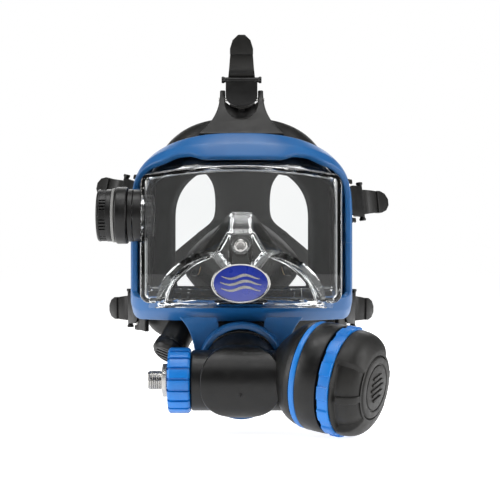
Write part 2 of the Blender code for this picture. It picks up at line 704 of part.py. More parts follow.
def inlet(along):
    profile = [(17.5, -51.9), (22.0, -51.9), (23.4, -50.6, 1.4), (23.4, -37.0, 1.4), (22.0, -35.8), (17.5, -35.8)]
    finish("adjuster_ring", turned(profile, 18 * 3, dip=one_in(3)), "bright_blue", along)
    nut_bore = finish("lock_nut_bore", rod(7.4, -60, -50, 24), "steel", along, hidden=True)
    lock = finish("inlet_lock_nut", turned([(0, -56.3), (11.2, -56.3), (12.1, -55.6), (12.1, -52.3), (0, -52.3)], 6),
                  "steel", along)
    cut(lock, nut_bore)
    profile = [(4.2, -66.8), (6.0, -66.8)]
    pitch, first = 1.411, -66.4
    for k in range(7):
        z = first + pitch * k
        profile += [(6.4, z), (7.14, z + 0.7)]
    profile += [(7.1, -56.2), (7.1, -24.6), (4.2, -24.6)]
    finish("inlet_fitting", turned(profile, 28), "steel", along)


def demand_valve(along):
    """Barrel, seat, poppet and spring along the tube, and the lever that opens them."""
    barrel = finish("valve_barrel", turned([(0, -21.6), (9.2, -21.6), (9.2, -12), (7.6, -9), (7.6, 12), (0, 12)], 28),
                    "brass", along)
    ears = []
    pin = LEVER_PIN - TUBE
    for k, z in enumerate((-4.4, 4.4)):
        arm = hull([(x, y, pin.z + z + t) for t in (-1.1, 1.1) for x, y in (
            (4, -6), (4, 3), (12, -7), (pin.x + 2.4, pin.y - 2.4), (pin.x + 2.4, pin.y + 2.4), (pin.x - 2.4, pin.y - 2.4))])
        arm.transform(Matrix.Translation(TUBE))
        ears.append(finish(f"barrel_ear_{k}", arm, "brass", hidden=True))
    join(barrel, *ears)
    cut(barrel, finish("barrel_bore", turned([(0, -30), (5.2, -30), (5.2, -12.2), (3.4, -11.9), (3.4, 20), (0, 20)], 24),
                       "brass", along, hidden=True))
    hinge = group("lever_axis", pose(LEVER_PIN))
    cut(barrel, finish("ear_bore", rod(1.55, -12, 12, 16), "brass", hinge, hidden=True))
    finish("lever_pin", rod(1.5, -6.8, 6.8, 16), "steel", hinge)
    seat = turned([(1.9, -15.6), (4.9, -15.6), (4.9, -12.6), (1.9, -12.6)], 24)
    finish("valve_seat", seat, "silicone", along)
    poppet = turned([(0, -20.0), (3.9, -20.0), (3.9, -15.9), (1.3, -15.9), (1.3, 36.2), (0, 36.2)], 20)
    finish("poppet", poppet, "brass", along)
    finish("poppet_spring", coil(3.0, 0.35, 3, -24.4, -20.3), "steel", along)
    tip = BELL_AT + BELL_DIR * 12.0 - LEVER_PIN
    lever = finish("demand_lever", hull([(x, y, z) for z in (-2.8, 2.8) for x, y in (
        (-2.6, -2.6), (2.6, -2.6), (2.6, 2.6), (-2.6, 2.6))]), "steel", hinge)
    long_arm = hull([(x, y, z + tip.z * w) for z in (-1.8, 1.8) for x, y, w in (
        (0, -2.2, 0), (0, 2.2, 0), (tip.x, tip.y - 1.6, 1), (tip.x, tip.y + 1.6, 1))])
    short_arm = hull([(x, y, z) for z in (-2.2, 2.2) for x, y in ((-1.2, 0), (1.2, 0), (1.2, 16), (-0.8, 16))])
    join(lever, finish("lever_long_arm", long_arm, "steel", hinge, hidden=True),
         finish("lever_short_arm", short_arm, "steel", hinge, hidden=True))
    cut(lever, finish("lever_bore", rod(1.6, -8, 8, 16), "steel", hinge, hidden=True))


def bell_parts(bell):
    accent = turned([(36.5, 1.6), (38.0, 1.6), (38.4, 2.4), (38.4, 5.2), (38.0, 6.0), (36.5, 6.0)], 56)
    finish("colour_ring", accent, "bright_blue", bell)
    profile = [(35.0, 19.2), (38.4, 19.2), (39.6, 20.6, 1.3), (39.6, 28.4, 1.3), (38.4, 29.2), (35.0, 29.2)]
    finish("retaining_ring", turned(profile, 14 * 4, dip=one_in(4)), "bright_blue", bell)
    finish("diaphragm", turned([(16, 18.3), (26, 18.3), (27.5, 20), (29, 18.3), (34.5, 18.3), (34.5, 19.0),
                                (29.4, 19.0), (27.5, 21), (25.6, 19.0), (16, 19.0)], 44), "silicone", bell)
    plate = turned([(0, 13.2), (12.5, 13.2), (12.5, 17.2), (18, 17.4), (18, 18.0), (15.7, 18.0), (15.7, 19.6),
                    (0, 19.6)], 40)
    finish("diaphragm_plate", plate, "steel", bell)
    cover = finish("purge_cover", turned(
        [(31.5, 29.5), (37.0, 29.5), (36.8, 33), (35.2, 40), (31.8, 46.5), (27.0, 50.8), (22.6, 53.4),
         (22.6, 50.0), (26.0, 47.4), (30.4, 42.0), (31.5, 36.0)], 56), "black", bell)
    lobes = []
    for k, angle in enumerate((pi / 2, -pi / 2)):
        lobe = hull([(35.4 * cos(a) * s, 35.4 * sin(a) * s, z)
                     for a in [angle + d for d in (-0.8, -0.4, 0, 0.4, 0.8)]
                     for s, z in ((1.06, 31), (1.06, 38), (0.98, 47), (0.8, 54), (0.9, 31), (0.7, 50))])
        lobes.append(finish(f"cover_lobe_{k}", lobe, "black", bell, hidden=True))
    join(cover, *lobes)
    hollow = turned([(0, 20), (31.0, 20), (31.0, 36), (29.8, 42), (25.6, 47), (22.6, 49.6), (22.6, 60), (0, 60)], 48)
    cut(cover, finish("cover_hollow", hollow, "black", bell, hidden=True))
    button = turned([(0, 22.0), (6.0, 22.0), (6.0, 47.0), (25.0, 44.0), (25.0, 45.6), (22.2, 47.4),
                     (22.2, 54.4), (20.6, 55.6), (0, 55.6)], 48)
    finish("purge_button", button, "black", bell)
    finish("purge_spring", coil(9.0, 0.7, 3.5, 20.2, 44.4), "steel", bell)


# ---------------------------------------------------------------- harness


def buckle_pose(spec):
    """Local X along the pin, Y along the strap's free end, Z out of the face."""
    y = Vector(spec["out"]).normalized()
    z = Vector(spec["front"])
    z = (z - z.dot(y) * y).normalized()
    turn = Matrix((y.cross(z), y, z)).transposed().to_4x4()
    return Matrix.Translation(Vector(spec["at"]) * MM) @ turn


def buckle(name, spec):
    place = group(f"buckle_axis_{name}", buckle_pose(spec))
    outline = [(-12.3, 13.8), (-12.3, -1.5), (-10.8, -4.2), (-8.2, -5.4), (8.2, -5.4), (10.8, -4.2), (12.3, -1.5),
               (12.3, 13.8)]
    plate = finish(f"buckle_{name}", prism(outline, -2.2, 2.2), "black", place)
    bar = rod(2.3, -15.4, 15.4, 14)
    bar.transform(Matrix.Translation((0, 15.0, 0)) @ Matrix.Rotation(pi / 2, 4, "Y"))
    join(plate, finish(f"buckle_bar_{name}", bar, "black", place, hidden=True))
    slot = box((-9.9, 5.2, -5), (9.9, 11.4, 5))
    bore = rod(1.6, -20, 20, 16)
    bore.transform(Matrix.Rotation(pi / 2, 4, "Y"))
    cut(plate, finish(f"buckle_slot_{name}", slot, "black", place, hidden=True),
        finish(f"buckle_bore_{name}", bore, "black", place, hidden=True))
    pin = rod(1.45, -17.6, 17.6, 12)
    pin.transform(Matrix.Rotation(pi / 2, 4, "Y"))
    finish(f"buckle_pin_{name}", pin, "steel", place)
    tail = finish(f"strap_tail_{name}", prism([(-9, 18), (9, 18), (9, 36), (-9, 36)], 0.2, 2.4), "rubber", place)
    tab = [(-9, 34.5), (9, 34.5), (9, 37), (6.4, 45), (2.2, 49.2), (-2.2, 49.2), (-6.4, 45), (-9, 37)]
    join(tail, finish(f"strap_tab_{name}", prism(tab, -0.6, 4.0), "rubber", place, hidden=True))


ARMS = {
    "top": {"root": (0, 108, 62), "pull": (0, 96, 128), "half": 12, "wide": (1, 0, 0)},
    "temple_right": {"root": (24, 109, 60), "pull": (88, 104, 52), "half": 10, "wide": (0.0, 0.1, 1)},
    "temple_left": {"root": (-24, 109, 60), "pull": (-88, 104, 54), "half": 10, "wide": (0.0, 0.1, 1)},
    "lower_right": {"root": (18, 109, 2), "pull": (92, 96, -36), "half": 10, "wide": (0.25, 0.1, 1)},
    "lower_left": {"root": (-18, 109, 2), "pull": (-92, 96, -36), "half": 10, "wide": (-0.25, 0.1, 1)},
}


def harness():
    outline = [(-13, 80), (13, 80), (24, 72), (38, 72), (38, 50), (25, 38), (24, 14), (36, 0), (28, -12), (0, -8),
               (-28, -12), (-36, 0), (-24, 14), (-25, 38), (-38, 50), (-38, 72), (-24, 72)]
    pad = prism([(x, -z) for x, z in outline], -1.6, 1.6)
    pad.transform(Matrix.Translation((0, 110, 0)) @ Matrix.Rotation(-pi / 2, 4, "X"))
    spider = finish("harness_spider", pad, "rubber")
    arms = []
    for name, arm in ARMS.items():
        spec = BUCKLES[name]
        local = buckle_pose(spec)
        end = (local @ (Vector((0, 12.0, -6.0)) * MM)) / MM
        start, pull, wide = Vector(arm["root"]), Vector(arm["pull"]), Vector(arm["wide"])
        last_wide = local.to_3x3() @ Vector((1, 0, 0))
        if last_wide.dot(wide) < 0:
            last_wide = -last_wide
        loops, steps = [], 12
        for k in range(steps + 1):
            t = k / steps
            here = start * (1 - t) ** 2 + pull * 2 * t * (1 - t) + end * t ** 2
            tangent = ((pull - start) * (1 - t) + (end - pull) * t).normalized()
            across = wide.normalized().lerp(last_wide, t)
            across = (across - across.dot(tangent) * tangent).normalized()
            out = tangent.cross(across)
            half = arm["half"] * (1 - t) + TAIL_HALF * t
            loops.append([here + across * half * sx + out * STRAP_THICK / 2 * sz
                          for sx, sz in ((-1, -1), (1, -1), (1, 1), (-1, 1))])
        arms.append(finish(f"harness_arm_{name}", loft(loops), "rubber", hidden=True))
    join(spider, *arms)


def build():
    clear_scene()
    frame_parts()
    side, stem = lens()
    nose_block(stem)
    badge()
    skirt()
    oral_nasal_cup()
    exhaust()
    ambient_valve(side)
    regulator()
    for name, spec in BUCKLES.items():
        buckle(name, spec)
    harness()


build()
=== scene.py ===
"""Looks of the full-face diving mask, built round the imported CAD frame.

Lengths below are millimetres and become metres in piece(). The wearer looks along -Y,
+Z is up, and the origin is the middle of the face seal.
"""

import json
from math import cos, exp, pi, radians, sin, sqrt, tau

import bmesh
import bpy
import numpy as np
from mathutils import Matrix, Vector


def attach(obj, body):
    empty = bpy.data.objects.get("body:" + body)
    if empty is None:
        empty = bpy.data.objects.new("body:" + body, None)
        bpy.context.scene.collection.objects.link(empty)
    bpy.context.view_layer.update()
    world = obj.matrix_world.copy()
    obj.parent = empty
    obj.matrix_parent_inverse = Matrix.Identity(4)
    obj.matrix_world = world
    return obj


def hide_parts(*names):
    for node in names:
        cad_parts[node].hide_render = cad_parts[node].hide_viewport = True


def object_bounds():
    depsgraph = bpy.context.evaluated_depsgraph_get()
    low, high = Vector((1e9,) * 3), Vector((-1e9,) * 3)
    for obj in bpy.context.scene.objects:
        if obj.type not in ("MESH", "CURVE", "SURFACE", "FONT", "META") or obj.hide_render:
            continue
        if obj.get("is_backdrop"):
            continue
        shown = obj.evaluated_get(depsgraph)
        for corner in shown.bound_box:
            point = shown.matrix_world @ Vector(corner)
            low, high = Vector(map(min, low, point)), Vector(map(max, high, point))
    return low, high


MM = 0.001

# The camera stands in front of the mask, level and slightly to its left.
CAMERA_AT, CAMERA_LENS = (6.5, -980.0, -16.5), 90.25

# Strength of the white surroundings: as light and in reflections, and as the plain backdrop.
SHADED_WORLD, SEEN_WORLD = 0.16, 1.0
FLOOR_GAP = 0.5 * MM  # the floor lies this far below the lowest piece

# Rim of the visor, as in the CAD: front inner edge and rear outer edge.
INNER = {"half": 83.0, "top": 52.0, "spring": 2.0, "bottom": -53.0, "radius": 14.0, "square": 5.0}
OUTER = {"half": 84.0, "top": 71.0, "spring": 17.0, "bottom": -70.0, "radius": 18.0, "square": 2.6}
INNER_Y, OUTER_Y, SIDE_SWEEP, REAR_SWEEP = -62.0, -48.0, 30.0, 36.0
BAND_INNER = {**INNER, "radius": 6.5}
BAND_OUTER = {**OUTER, "radius": 7.5}
SPLIT_Z, SPLIT_GAP = -11.0, 0.06
TOP_STEPS, SIDE_STEPS, CORNER_STEPS, BOTTOM_STEPS = 72, 8, 8, 24

# Lens panel and the pocket that stands out from it.
PANEL = {"half": 73.0, "top": 45.0, "corner": 39.0, "bottom": -55.0, "r_top": 7.0, "r_low": 7.0}
PANEL_Y, LENS_WALL = -75.0, 3.0

# Axes of the round assemblies: where they start, and the way they point.
ABV_AT, ABV_DIR = (0.0, -54.0, 9.0), (-1.0, 0.0, 0.0)
TUBE_AT, TUBE_DIR = (0.0, -80.0, -110.0), (1.0, 0.0, 0.0)
NECK_TILT, COLLAR_TILT = radians(24.0), radians(43.0)
NECK_AT, NECK_DIR = (0.0, -80.0, -110.5), (0.0, cos(NECK_TILT), sin(NECK_TILT))
BELL_AT, BELL_DIR = (50.0, -85.0, -105.0), (0.865, -0.48, -0.14)
EXHAUST_AT, EXHAUST_DIR = (-52.0, -29.0, -88.0), (-0.42, -0.5, -0.76)
KNOB_AT, KNOB_DIR = (0.0, -99.0, -13.5), (0.0, -1.0, 0.0)
BADGE_AT = (0.0, -100.4, -40.0)

# Chin collar: radii, front and rear faces, how far it hangs, and how its front face leans.
COLLAR_IN, COLLAR_OUT, COLLAR_FACE, COLLAR_BACK, COLLAR_DROP = 27.3, 31.6, 17.5, 32.4, 4.5
COLLAR_SLOPE = sin(COLLAR_TILT - NECK_TILT) / cos(COLLAR_TILT - NECK_TILT)

# Swelling where the regulator's neck meets its tube: radius and half sizes of its outline.
BARREL_R, BARREL_WIDE, BARREL_HIGH = 26.8, 28.6, 26.2

# Buckles: pin, the way the strap's free end points, and the side that faces out.
BUCKLES = {
    "top": {"at": (0.0, -14.0, 99.5), "out": (0.0, -0.05, 1.0), "front": (0.0, -1.0, 0.0)},
    "temple_right": {"at": (85.2, 5.5, 22.0), "out": (0.63, 0.77, 0.0), "front": (0.77, -0.63, 0.12)},
    "temple_left": {"at": (-85.2, 5.5, 25.5), "out": (-0.61, 0.76, 0.2), "front": (-0.77, -0.63, 0.12)},
    "lower_right": {"at": (81.6, 5.4, -62.0), "out": (0.46, 0.88, -0.06), "front": (0.88, -0.46, 0.0)},
    "lower_left": {"at": (-81.6, 5.4, -62.0), "out": (-0.48, 0.87, -0.04), "front": (-0.88, -0.46, 0.0)},
}

# Harness straps: start on the back plate, the point that pulls the curve, half-width, way across.
ARMS = {
    "top": {"root": (0, 108, 62), "pull": (0, 96, 128), "half": 12, "wide": (1, 0, 0)},
    "temple_right": {"root": (24, 109, 60), "pull": (88, 104, 52), "half": 10, "wide": (0, 0.1, 1)},
    "temple_left": {"root": (-24, 109, 60), "pull": (-88, 104, 54), "half": 10, "wide": (0, 0.1, 1)},
    "lower_right": {"root": (18, 109, 2), "pull": (92, 96, -56), "half": 10, "wide": (0.25, 0.1, 1)},
    "lower_left": {"root": (-18, 109, 2), "pull": (-92, 96, -56), "half": 10, "wide": (-0.25, 0.1, 1)},
}

# Faces with more corners than this, left by the Booleans, keep sharp edges: they are flat.
FLAT_CORNERS = 8


# ------------------------------------------------------------- materials


class Shader:
    """A Principled material with its colour, roughness and relief from noise."""

    def __init__(self, name, roughness=0.5, metallic=0.0, **sockets):
        self.material = bpy.data.materials.new(name)
        self.material.use_nodes = True
        self.nodes = self.material.node_tree.nodes
        self.link = self.material.node_tree.links.new
        self.main = self.nodes["Principled BSDF"]
        self.place = self.nodes.new("ShaderNodeTexCoord").outputs["Object"]
        self.fill(self.main, Roughness=roughness, Metallic=metallic, **sockets)

    def fill(self, node, **sockets):
        for socket, value in sockets.items():
            node.inputs[socket.replace("_", " ")].default_value = value
        return node

    def noise(self, scale, detail=3.0, stretch=None):
        place = self.place
        if stretch:
            mapping = self.fill(self.nodes.new("ShaderNodeMapping"), Scale=stretch)
            self.link(place, mapping.inputs["Vector"])
            place = mapping.outputs["Vector"]
        texture = self.fill(self.nodes.new("ShaderNodeTexNoise"), Scale=scale, Detail=detail)
        self.link(place, texture.inputs["Vector"])
        return texture.outputs["Fac"]

    def spread(self, fac, low, high):
        """Maps the middle of a noise onto low..high."""
        node = self.fill(self.nodes.new("ShaderNodeMapRange"), From_Min=0.3, From_Max=0.7,
                         To_Min=low, To_Max=high)
        self.link(fac, node.inputs["Value"])
        return node.outputs["Result"]

    def colour(self, dark, pale, scale):
        mix = self.nodes.new("ShaderNodeMix")
        mix.data_type = "RGBA"
        mix.inputs["A"].default_value = (*dark, 1.0)
        mix.inputs["B"].default_value = (*pale, 1.0)
        self.link(self.spread(self.noise(scale, 4.0), 0.0, 1.0), mix.inputs["Factor"])
        self.link(mix.outputs["Result"], self.main.inputs["Base Color"])
        return self

    def rough(self, low, high, scale):
        fac = self.spread(self.noise(scale, 5.0), low, high)
        self.link(fac, self.main.inputs["Roughness"])
        return self

    def relief(self, scale, strength, depth_mm, stretch=None):
        bump = self.fill(self.nodes.new("ShaderNodeBump"), Strength=strength, Distance=depth_mm * MM)
        self.link(self.noise(scale, 2.0, stretch), bump.inputs["Height"])
        self.link(bump.outputs["Normal"], self.main.inputs["Normal"])
        return self


def grey(level):
    return (level, level, level)


def make_materials():
    def look(name, dark, pale, grain, rough, relief=None, **settings):
        shader = Shader(name, **settings).colour(dark, pale, grain).rough(*rough)
        if relief:
            shader.relief(*relief)
        return shader.material

    turned = (700, 0.25, 0.03, (1, 9, 9))
    clear = {"roughness": 0.01, "Transmission_Weight": 1.0, "IOR": 1.5}
    paper = {"Specular_IOR_Level": 0.0, "Emission_Color": (1, 1, 1, 1), "Emission_Strength": 0.85}
    return {
        "blue": look("frame_blue", (0.006, 0.078, 0.235), (0.010, 0.100, 0.285), 35,
                     (0.30, 0.42, 160), (1400, 0.18, 0.05), Specular_IOR_Level=0.4),
        "bright_blue": look("ring_blue", (0.0, 0.125, 0.44), (0.0, 0.165, 0.54), 50,
                            (0.30, 0.42, 200), (1500, 0.15, 0.05)),
        "black": look("moulded_black", grey(0.003), (0.006, 0.0058, 0.0055), 60,
                      (0.30, 0.44, 220), (1900, 0.3, 0.06), Specular_IOR_Level=0.3),
        "soft_black": look("purge_rubber", (0.008, 0.0076, 0.007), (0.014, 0.0132, 0.012), 45,
                           (0.42, 0.56, 180), (1500, 0.35, 0.07), Specular_IOR_Level=0.3),
        "rubber": look("strap_rubber", (0.004, 0.0038, 0.0034), (0.009, 0.0085, 0.0075), 40,
                       (0.36, 0.5, 150), (1300, 0.3, 0.07), Specular_IOR_Level=0.28),
        "cup": look("cup_rubber", (0.007, 0.006, 0.005), (0.014, 0.012, 0.010), 45,
                    (0.45, 0.6, 150), (900, 0.25, 0.08), Specular_IOR_Level=0.25),
        "silicone": look("amber_silicone", (0.55, 0.34, 0.16), (0.66, 0.44, 0.24), 80,
                         (0.4, 0.55, 160), (900, 0.2, 0.05),
                         Subsurface_Weight=0.2, Subsurface_Scale=0.002),
        "steel": look("turned_steel", (0.36, 0.355, 0.345), (0.5, 0.49, 0.475), 90,
                      (0.14, 0.3, 260), turned, metallic=1.0),
        "brass": look("turned_brass", (0.6, 0.43, 0.18), (0.72, 0.54, 0.26), 90,
                      (0.2, 0.35, 260), turned, metallic=1.0),
        "clear": look("polycarbonate", (0.93, 0.95, 0.95), (0.97, 0.98, 0.98), 20,
                      (0.004, 0.02, 60), **clear),
        "badge": look("badge_enamel", (0.004, 0.018, 0.22), (0.006, 0.024, 0.28), 120,
                      (0.25, 0.35, 200), Coat_Weight=0.6, Coat_Roughness=0.05),
        "pale": look("pale_gasket", (0.16, 0.16, 0.155), (0.22, 0.22, 0.21), 90,
                     (0.45, 0.6, 180), (1200, 0.2, 0.05)),
        "floor": look("studio_paper", grey(0.9), grey(0.94), 4, (0.75, 0.85, 30), **paper),
    }


# ----------------------------------------------------------- mesh tools


def pose(at, direction=(0, 0, 1), across=(1, 0, 0)):
    """A matrix in millimetres with local Z along direction and local X near across."""
    z = Vector(direction).normalized()
    x = Vector(across)
    x = (x - x.dot(z) * z).normalized()
    turn = Matrix((x, z.cross(x), z)).transposed().to_4x4()
    return Matrix.Translation(Vector(at)) @ turn


def mesh_of(name, bm):
    """A mesh from a bmesh, which is freed."""
    mesh = bpy.data.meshes.new(name)
    bm.to_mesh(mesh)
    bm.free()
    return mesh


def linked(name, data):
    obj = bpy.data.objects.new(name, data)
    bpy.context.collection.objects.link(obj)
    return obj


def soften(obj, width_mm, segments, angle):
    """Bevels the edges sharper than an angle in degrees."""
    edge = obj.modifiers.new("edges", "BEVEL")
    edge.width = width_mm * MM
    edge.segments = segments
    edge.limit_method = "ANGLE"
    edge.angle_limit = radians(angle)


def piece(name, bm, look, body="mask", nodes=(), place=None, bevel=0.0, angle=32):
    """Turns a bmesh in millimetres into a shown piece that rides on a CAD body."""
    if place is not None:
        bm.transform(place)
    bm.transform(Matrix.Scale(MM, 4))
    bmesh.ops.remove_doubles(bm, verts=bm.verts, dist=1e-7)
    bmesh.ops.recalc_face_normals(bm, faces=bm.faces)
    mesh = mesh_of(name, bm)
    mesh.materials.append(MATERIALS[look])
    mesh.shade_smooth()
    mesh.set_sharp_from_angle(angle=radians(angle))
    obj = linked(name, mesh)
    if bevel:
        soften(obj, bevel, 3, angle)
        mesh.set_sharp_from_angle(angle=pi)
    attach(obj, body)
    if nodes:
        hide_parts(*nodes)
    return obj


def bezier(start, pull, end, t):
    return start * (1 - t) ** 2 + pull * 2 * t * (1 - t) + end * t ** 2


def quarter(steps, first=0):
    """Angles from zero to a right angle; first leaves out that many at the start."""
    return [pi / 2 * k / steps for k in range(first, steps + 1)]


def squircle(a, power):
    """How far out a rounded square of half width 1 lies at an angle; it is a circle at power 2."""
    return (abs(cos(a)) ** power + abs(sin(a)) ** power) ** (-1 / power)


def rounded(outline, radius=0.5, steps=3, axis=True):
    """Fillets each corner of a closed outline, apart from points on the axis of a turned one."""
    points = []
    for i, here in enumerate(outline):
        before, after = Vector(outline[i - 1]), Vector(outline[(i + 1) % len(outline)])
        corner = Vector(here)
        reach = min(radius, (before - corner).length * 0.45, (after - corner).length * 0.45)
        if axis and abs(corner.x) < 1e-6:
            points.append(tuple(corner))
            continue
        start = corner + (before - corner).normalized() * reach
        end = corner + (after - corner).normalized() * reach
        for k in range(steps + 1):
            t = k / steps
            points.append(tuple(bezier(start, corner, end, t)))
    return points


def spun(profile, steps=96, wave=None):
    """A solid of revolution about Z from a closed (radius, z) profile.

    wave(angle, radius, z) may give each point another radius.
    """
    bm = bmesh.new()
    rings = []
    for radius, z in profile:
        if radius < 1e-6:
            rings.append([bm.verts.new((0, 0, z))])
            continue
        ring = []
        for k in range(steps):
            a = tau * k / steps
            r = wave(a, radius, z) if wave else radius
            ring.append(bm.verts.new((r * cos(a), r * sin(a), z)))
        rings.append(ring)
    for low, high in zip(rings, rings[1:] + rings[:1]):
        if len(low) == 1 and len(high) == 1:
            continue
        for k in range(steps):
            corners = [low[k % len(low)], low[(k + 1) % len(low)]]
            corners += [high[(k + 1) % len(high)], high[k % len(high)]]
            bm.faces.new(list(dict.fromkeys(corners)))
    return bm


def loft(loops, ring=False, caps=True):
    """Skins loops of points with the same count. A ring of loops closes on itself."""
    bm = bmesh.new()
    rows = [[bm.verts.new(p) for p in loop] for loop in loops]
    pairs = list(zip(rows, rows[1:])) + ([(rows[-1], rows[0])] if ring else [])
    for low, high in pairs:
        for k in range(len(low)):
            n = (k + 1) % len(low)
            bm.faces.new((low[k], low[n], high[n], high[k]))
    if caps and not ring:
        bm.faces.new(rows[0])
        bm.faces.new(rows[-1])
    return bm


def turned(name, profile, look, place, radius=0.6, steps=96, body="mask", nodes=(), fillet=3):
    """A turned piece from its (radius, z) corners."""
    piece(name, spun(rounded(profile, radius, fillet), steps), look, body, nodes, place)


def prism(outline, low, high):
    return loft([[(x, y, low) for x, y in outline], [(x, y, high) for x, y in outline]])


def hull(points):
    bm = bmesh.new()
    for p in points:
        bm.verts.new(p)
    bmesh.ops.convex_hull(bm, input=bm.verts)
    bmesh.ops.delete(bm, geom=[v for v in bm.verts if not v.link_faces], context="VERTS")
    return bm


def block(xs, ys, zs):
    return hull([(x, y, z) for x in xs for y in ys for z in zs])


def merged(*meshes):
    """One bmesh with the shapes of several."""
    whole = bmesh.new()
    for bm in meshes:
        mesh = mesh_of("part", bm)
        whole.from_mesh(mesh)
        bpy.data.meshes.remove(mesh)
    return whole


def mirrored(points):
    return [(sx * x, y, z) for x, y, z in points for sx in (-1, 1)]


def smooth_path(points, per_span=6):
    """Catmull-Rom points through a short list of vectors."""
    points = [Vector(p) for p in points]
    ends = [points[0] * 2 - points[1], *points, points[-1] * 2 - points[-2]]
    path = []
    for a, b, c, d in zip(ends, ends[1:], ends[2:], ends[3:]):
        for k in range(per_span):
            t = k / per_span
            path.append(0.5 * (2 * b + (c - a) * t + (2 * a - 5 * b + 4 * c - d) * t ** 2
                               + (3 * b - a - 3 * c + d) * t ** 3))
    return path + [points[-1]]


def smoothstep(low, high, value):
    t = min(max((value - low) / (high - low), 0.0), 1.0)
    return t * t * (3 - 2 * t)


def boolean(obj, others, operation):
    """Applies one Boolean with several helper objects, then removes them."""
    helpers = bpy.data.collections.new(f"{obj.name}_helpers")
    for other in others:
        helpers.objects.link(other)
    modifier = obj.modifiers.new("boolean", "BOOLEAN")
    modifier.operation = operation
    modifier.operand_type = "COLLECTION"
    modifier.collection = helpers
    graph = bpy.context.evaluated_depsgraph_get()
    mesh = bpy.data.meshes.new_from_object(obj.evaluated_get(graph), depsgraph=graph)
    obj.modifiers.clear()
    old, obj.data = obj.data, mesh
    bpy.data.meshes.remove(old)
    for other in others:
        bpy.data.objects.remove(other, do_unlink=True)
    bpy.data.collections.remove(helpers)


def helper(name, bm, place=None):
    """A shape in metres for boolean(), which removes it after use."""
    if place is not None:
        bm.transform(place)
    bm.transform(Matrix.Scale(MM, 4))
    bmesh.ops.recalc_face_normals(bm, faces=bm.faces)
    return linked(name, mesh_of(name, bm))


# ------------------------------------------------------ the visor's rim


def lower_path(half, side_top, bottom, radius):
    """Down the right side, along the bottom and up the left side."""
    side_low, reach, middle = bottom + radius, half - radius, SIDE_STEPS / 2
    side = []
    for k in range(SIDE_STEPS + 1):
        if k <= middle:
            side.append(side_top + (SPLIT_Z - side_top) * k / middle)
        else:
            side.append(SPLIT_Z + (side_low - SPLIT_Z) * (k - middle) / middle)
    points = [(half, z) for z in side[1:]]
    for a in quarter(CORNER_STEPS, 1):
        points.append((reach + radius * cos(a), side_low - radius * sin(a)))
    points += [(reach - 2 * reach * k / BOTTOM_STEPS, bottom) for k in range(1, BOTTOM_STEPS)]
    for a in quarter(CORNER_STEPS):
        points.append((-reach - radius * sin(a), side_low - radius * cos(a)))
    return points + [(-half, z) for z in side[-2:0:-1]]


def arched_outline(half, top, spring, bottom, radius, square=2.0):
    """(x, z) with an arch on straight sides; the arch is squarer with a power above two."""
    points = []
    for k in range(TOP_STEPS + 1):
        a = pi * (1 - k / TOP_STEPS)
        reach = squircle(a, square)
        points.append((half * reach * cos(a), spring + (top - spring) * reach * sin(a)))
    return points + lower_path(half, spring, bottom, radius)


def visor_outline(half, top, corner, bottom, r_top, r_low, inset=0.0):
    """(x, z) round the lens panel: slightly arched top, straight sides, rounded corners."""
    half, top, corner, bottom = half - inset, top - inset, corner - inset, bottom + inset
    r_top, r_low = max(r_top - inset, 1.0), max(r_low - inset, 1.0)
    side_top = corner - r_top
    reach = half - r_top
    points = [(-reach - r_top * cos(a), side_top + r_top * sin(a)) for a in quarter(CORNER_STEPS)[:-1]]
    arch = TOP_STEPS - 2 * CORNER_STEPS
    for k in range(arch + 1):
        x = -reach + 2 * reach * k / arch
        points.append((x, top - (top - corner) * (x / reach) ** 2))
    points += [(reach + r_top * sin(a), side_top + r_top * cos(a)) for a in quarter(CORNER_STEPS, 1)]
    return points + lower_path(half, side_top, bottom, r_low)


def rim_stations(inner, outer):
    """For each place round the rim: front edge, rear edge and the way in, square to both."""
    edges = []
    for (xi, zi), (xo, zo) in zip(arched_outline(**inner), arched_outline(**outer)):
        front = Vector((xi, INNER_Y + SIDE_SWEEP * abs(xi / INNER["half"]) ** 2.2, zi))
        rear = Vector((xo, OUTER_Y + REAR_SWEEP * abs(xo / OUTER["half"]) ** 2.2, zo))
        edges.append((front, rear))
    stations = []
    for i, (front, rear) in enumerate(edges):
        before, after = edges[i - 1], edges[(i + 1) % len(edges)]
        tangent = after[0] + after[1] - before[0] - before[1]
        inward = (rear - front).cross(tangent).normalized()
        if inward.dot(front + rear) > 0:
            inward = -inward
        stations.append((front, rear, inward))
    return stations


def on_rim(station, along, depth):
    front, rear, inward = station
    return front + (rear - front) * along + inward * depth


# ---------------------------------------------------------------- frame


def notch(x, z):
    """How far two scooped notches set the top band's lower edge back."""
    centres, half_width, depth, lowest = (-44.0, 46.0), 11.5, 4.4, 20.0
    if z < lowest:
        return 0.0
    nearest = min(abs(x - centre) for centre in centres)
    return depth * exp(-(nearest / half_width) ** 4)


def frame_section(station):
    """The frame's cross-section: a slightly crowned band with a rear flange."""
    front, rear, _ = station
    wide, crown, thick, flange, deep = (rear - front).length, 1.2, 4.5, 3.0, 8.5
    start = notch(front.x, front.z)
    outline = rounded([(start, 0.0), (wide * 0.5, -crown), (wide, 0.0), (wide, deep),
                       (wide - flange, deep), (wide - flange, thick), (start, thick)],
                      1.5, 4, axis=False)
    return [on_rim(station, u / wide, v) for u, v in outline]


def frame():
    count = len(BAND)
    right, left = TOP_STEPS + SIDE_STEPS // 2, count - SIDE_STEPS // 2
    halves = {"frame_upper": (list(range(left, count)) + list(range(right + 1)), SPLIT_GAP),
              "frame_lower": (list(range(right, left + 1)), -SPLIT_GAP)}
    for name, (indices, gap) in halves.items():
        loops = []
        for i in indices:
            front, rear, inward = BAND[i]
            move = Vector((0, 0, gap if i in (right, left) else 0))
            loops.append(frame_section((front + move, rear + move, inward)))
        piece(f"{name}_band", loft(loops), "blue", nodes=[name], angle=40)
    collar()


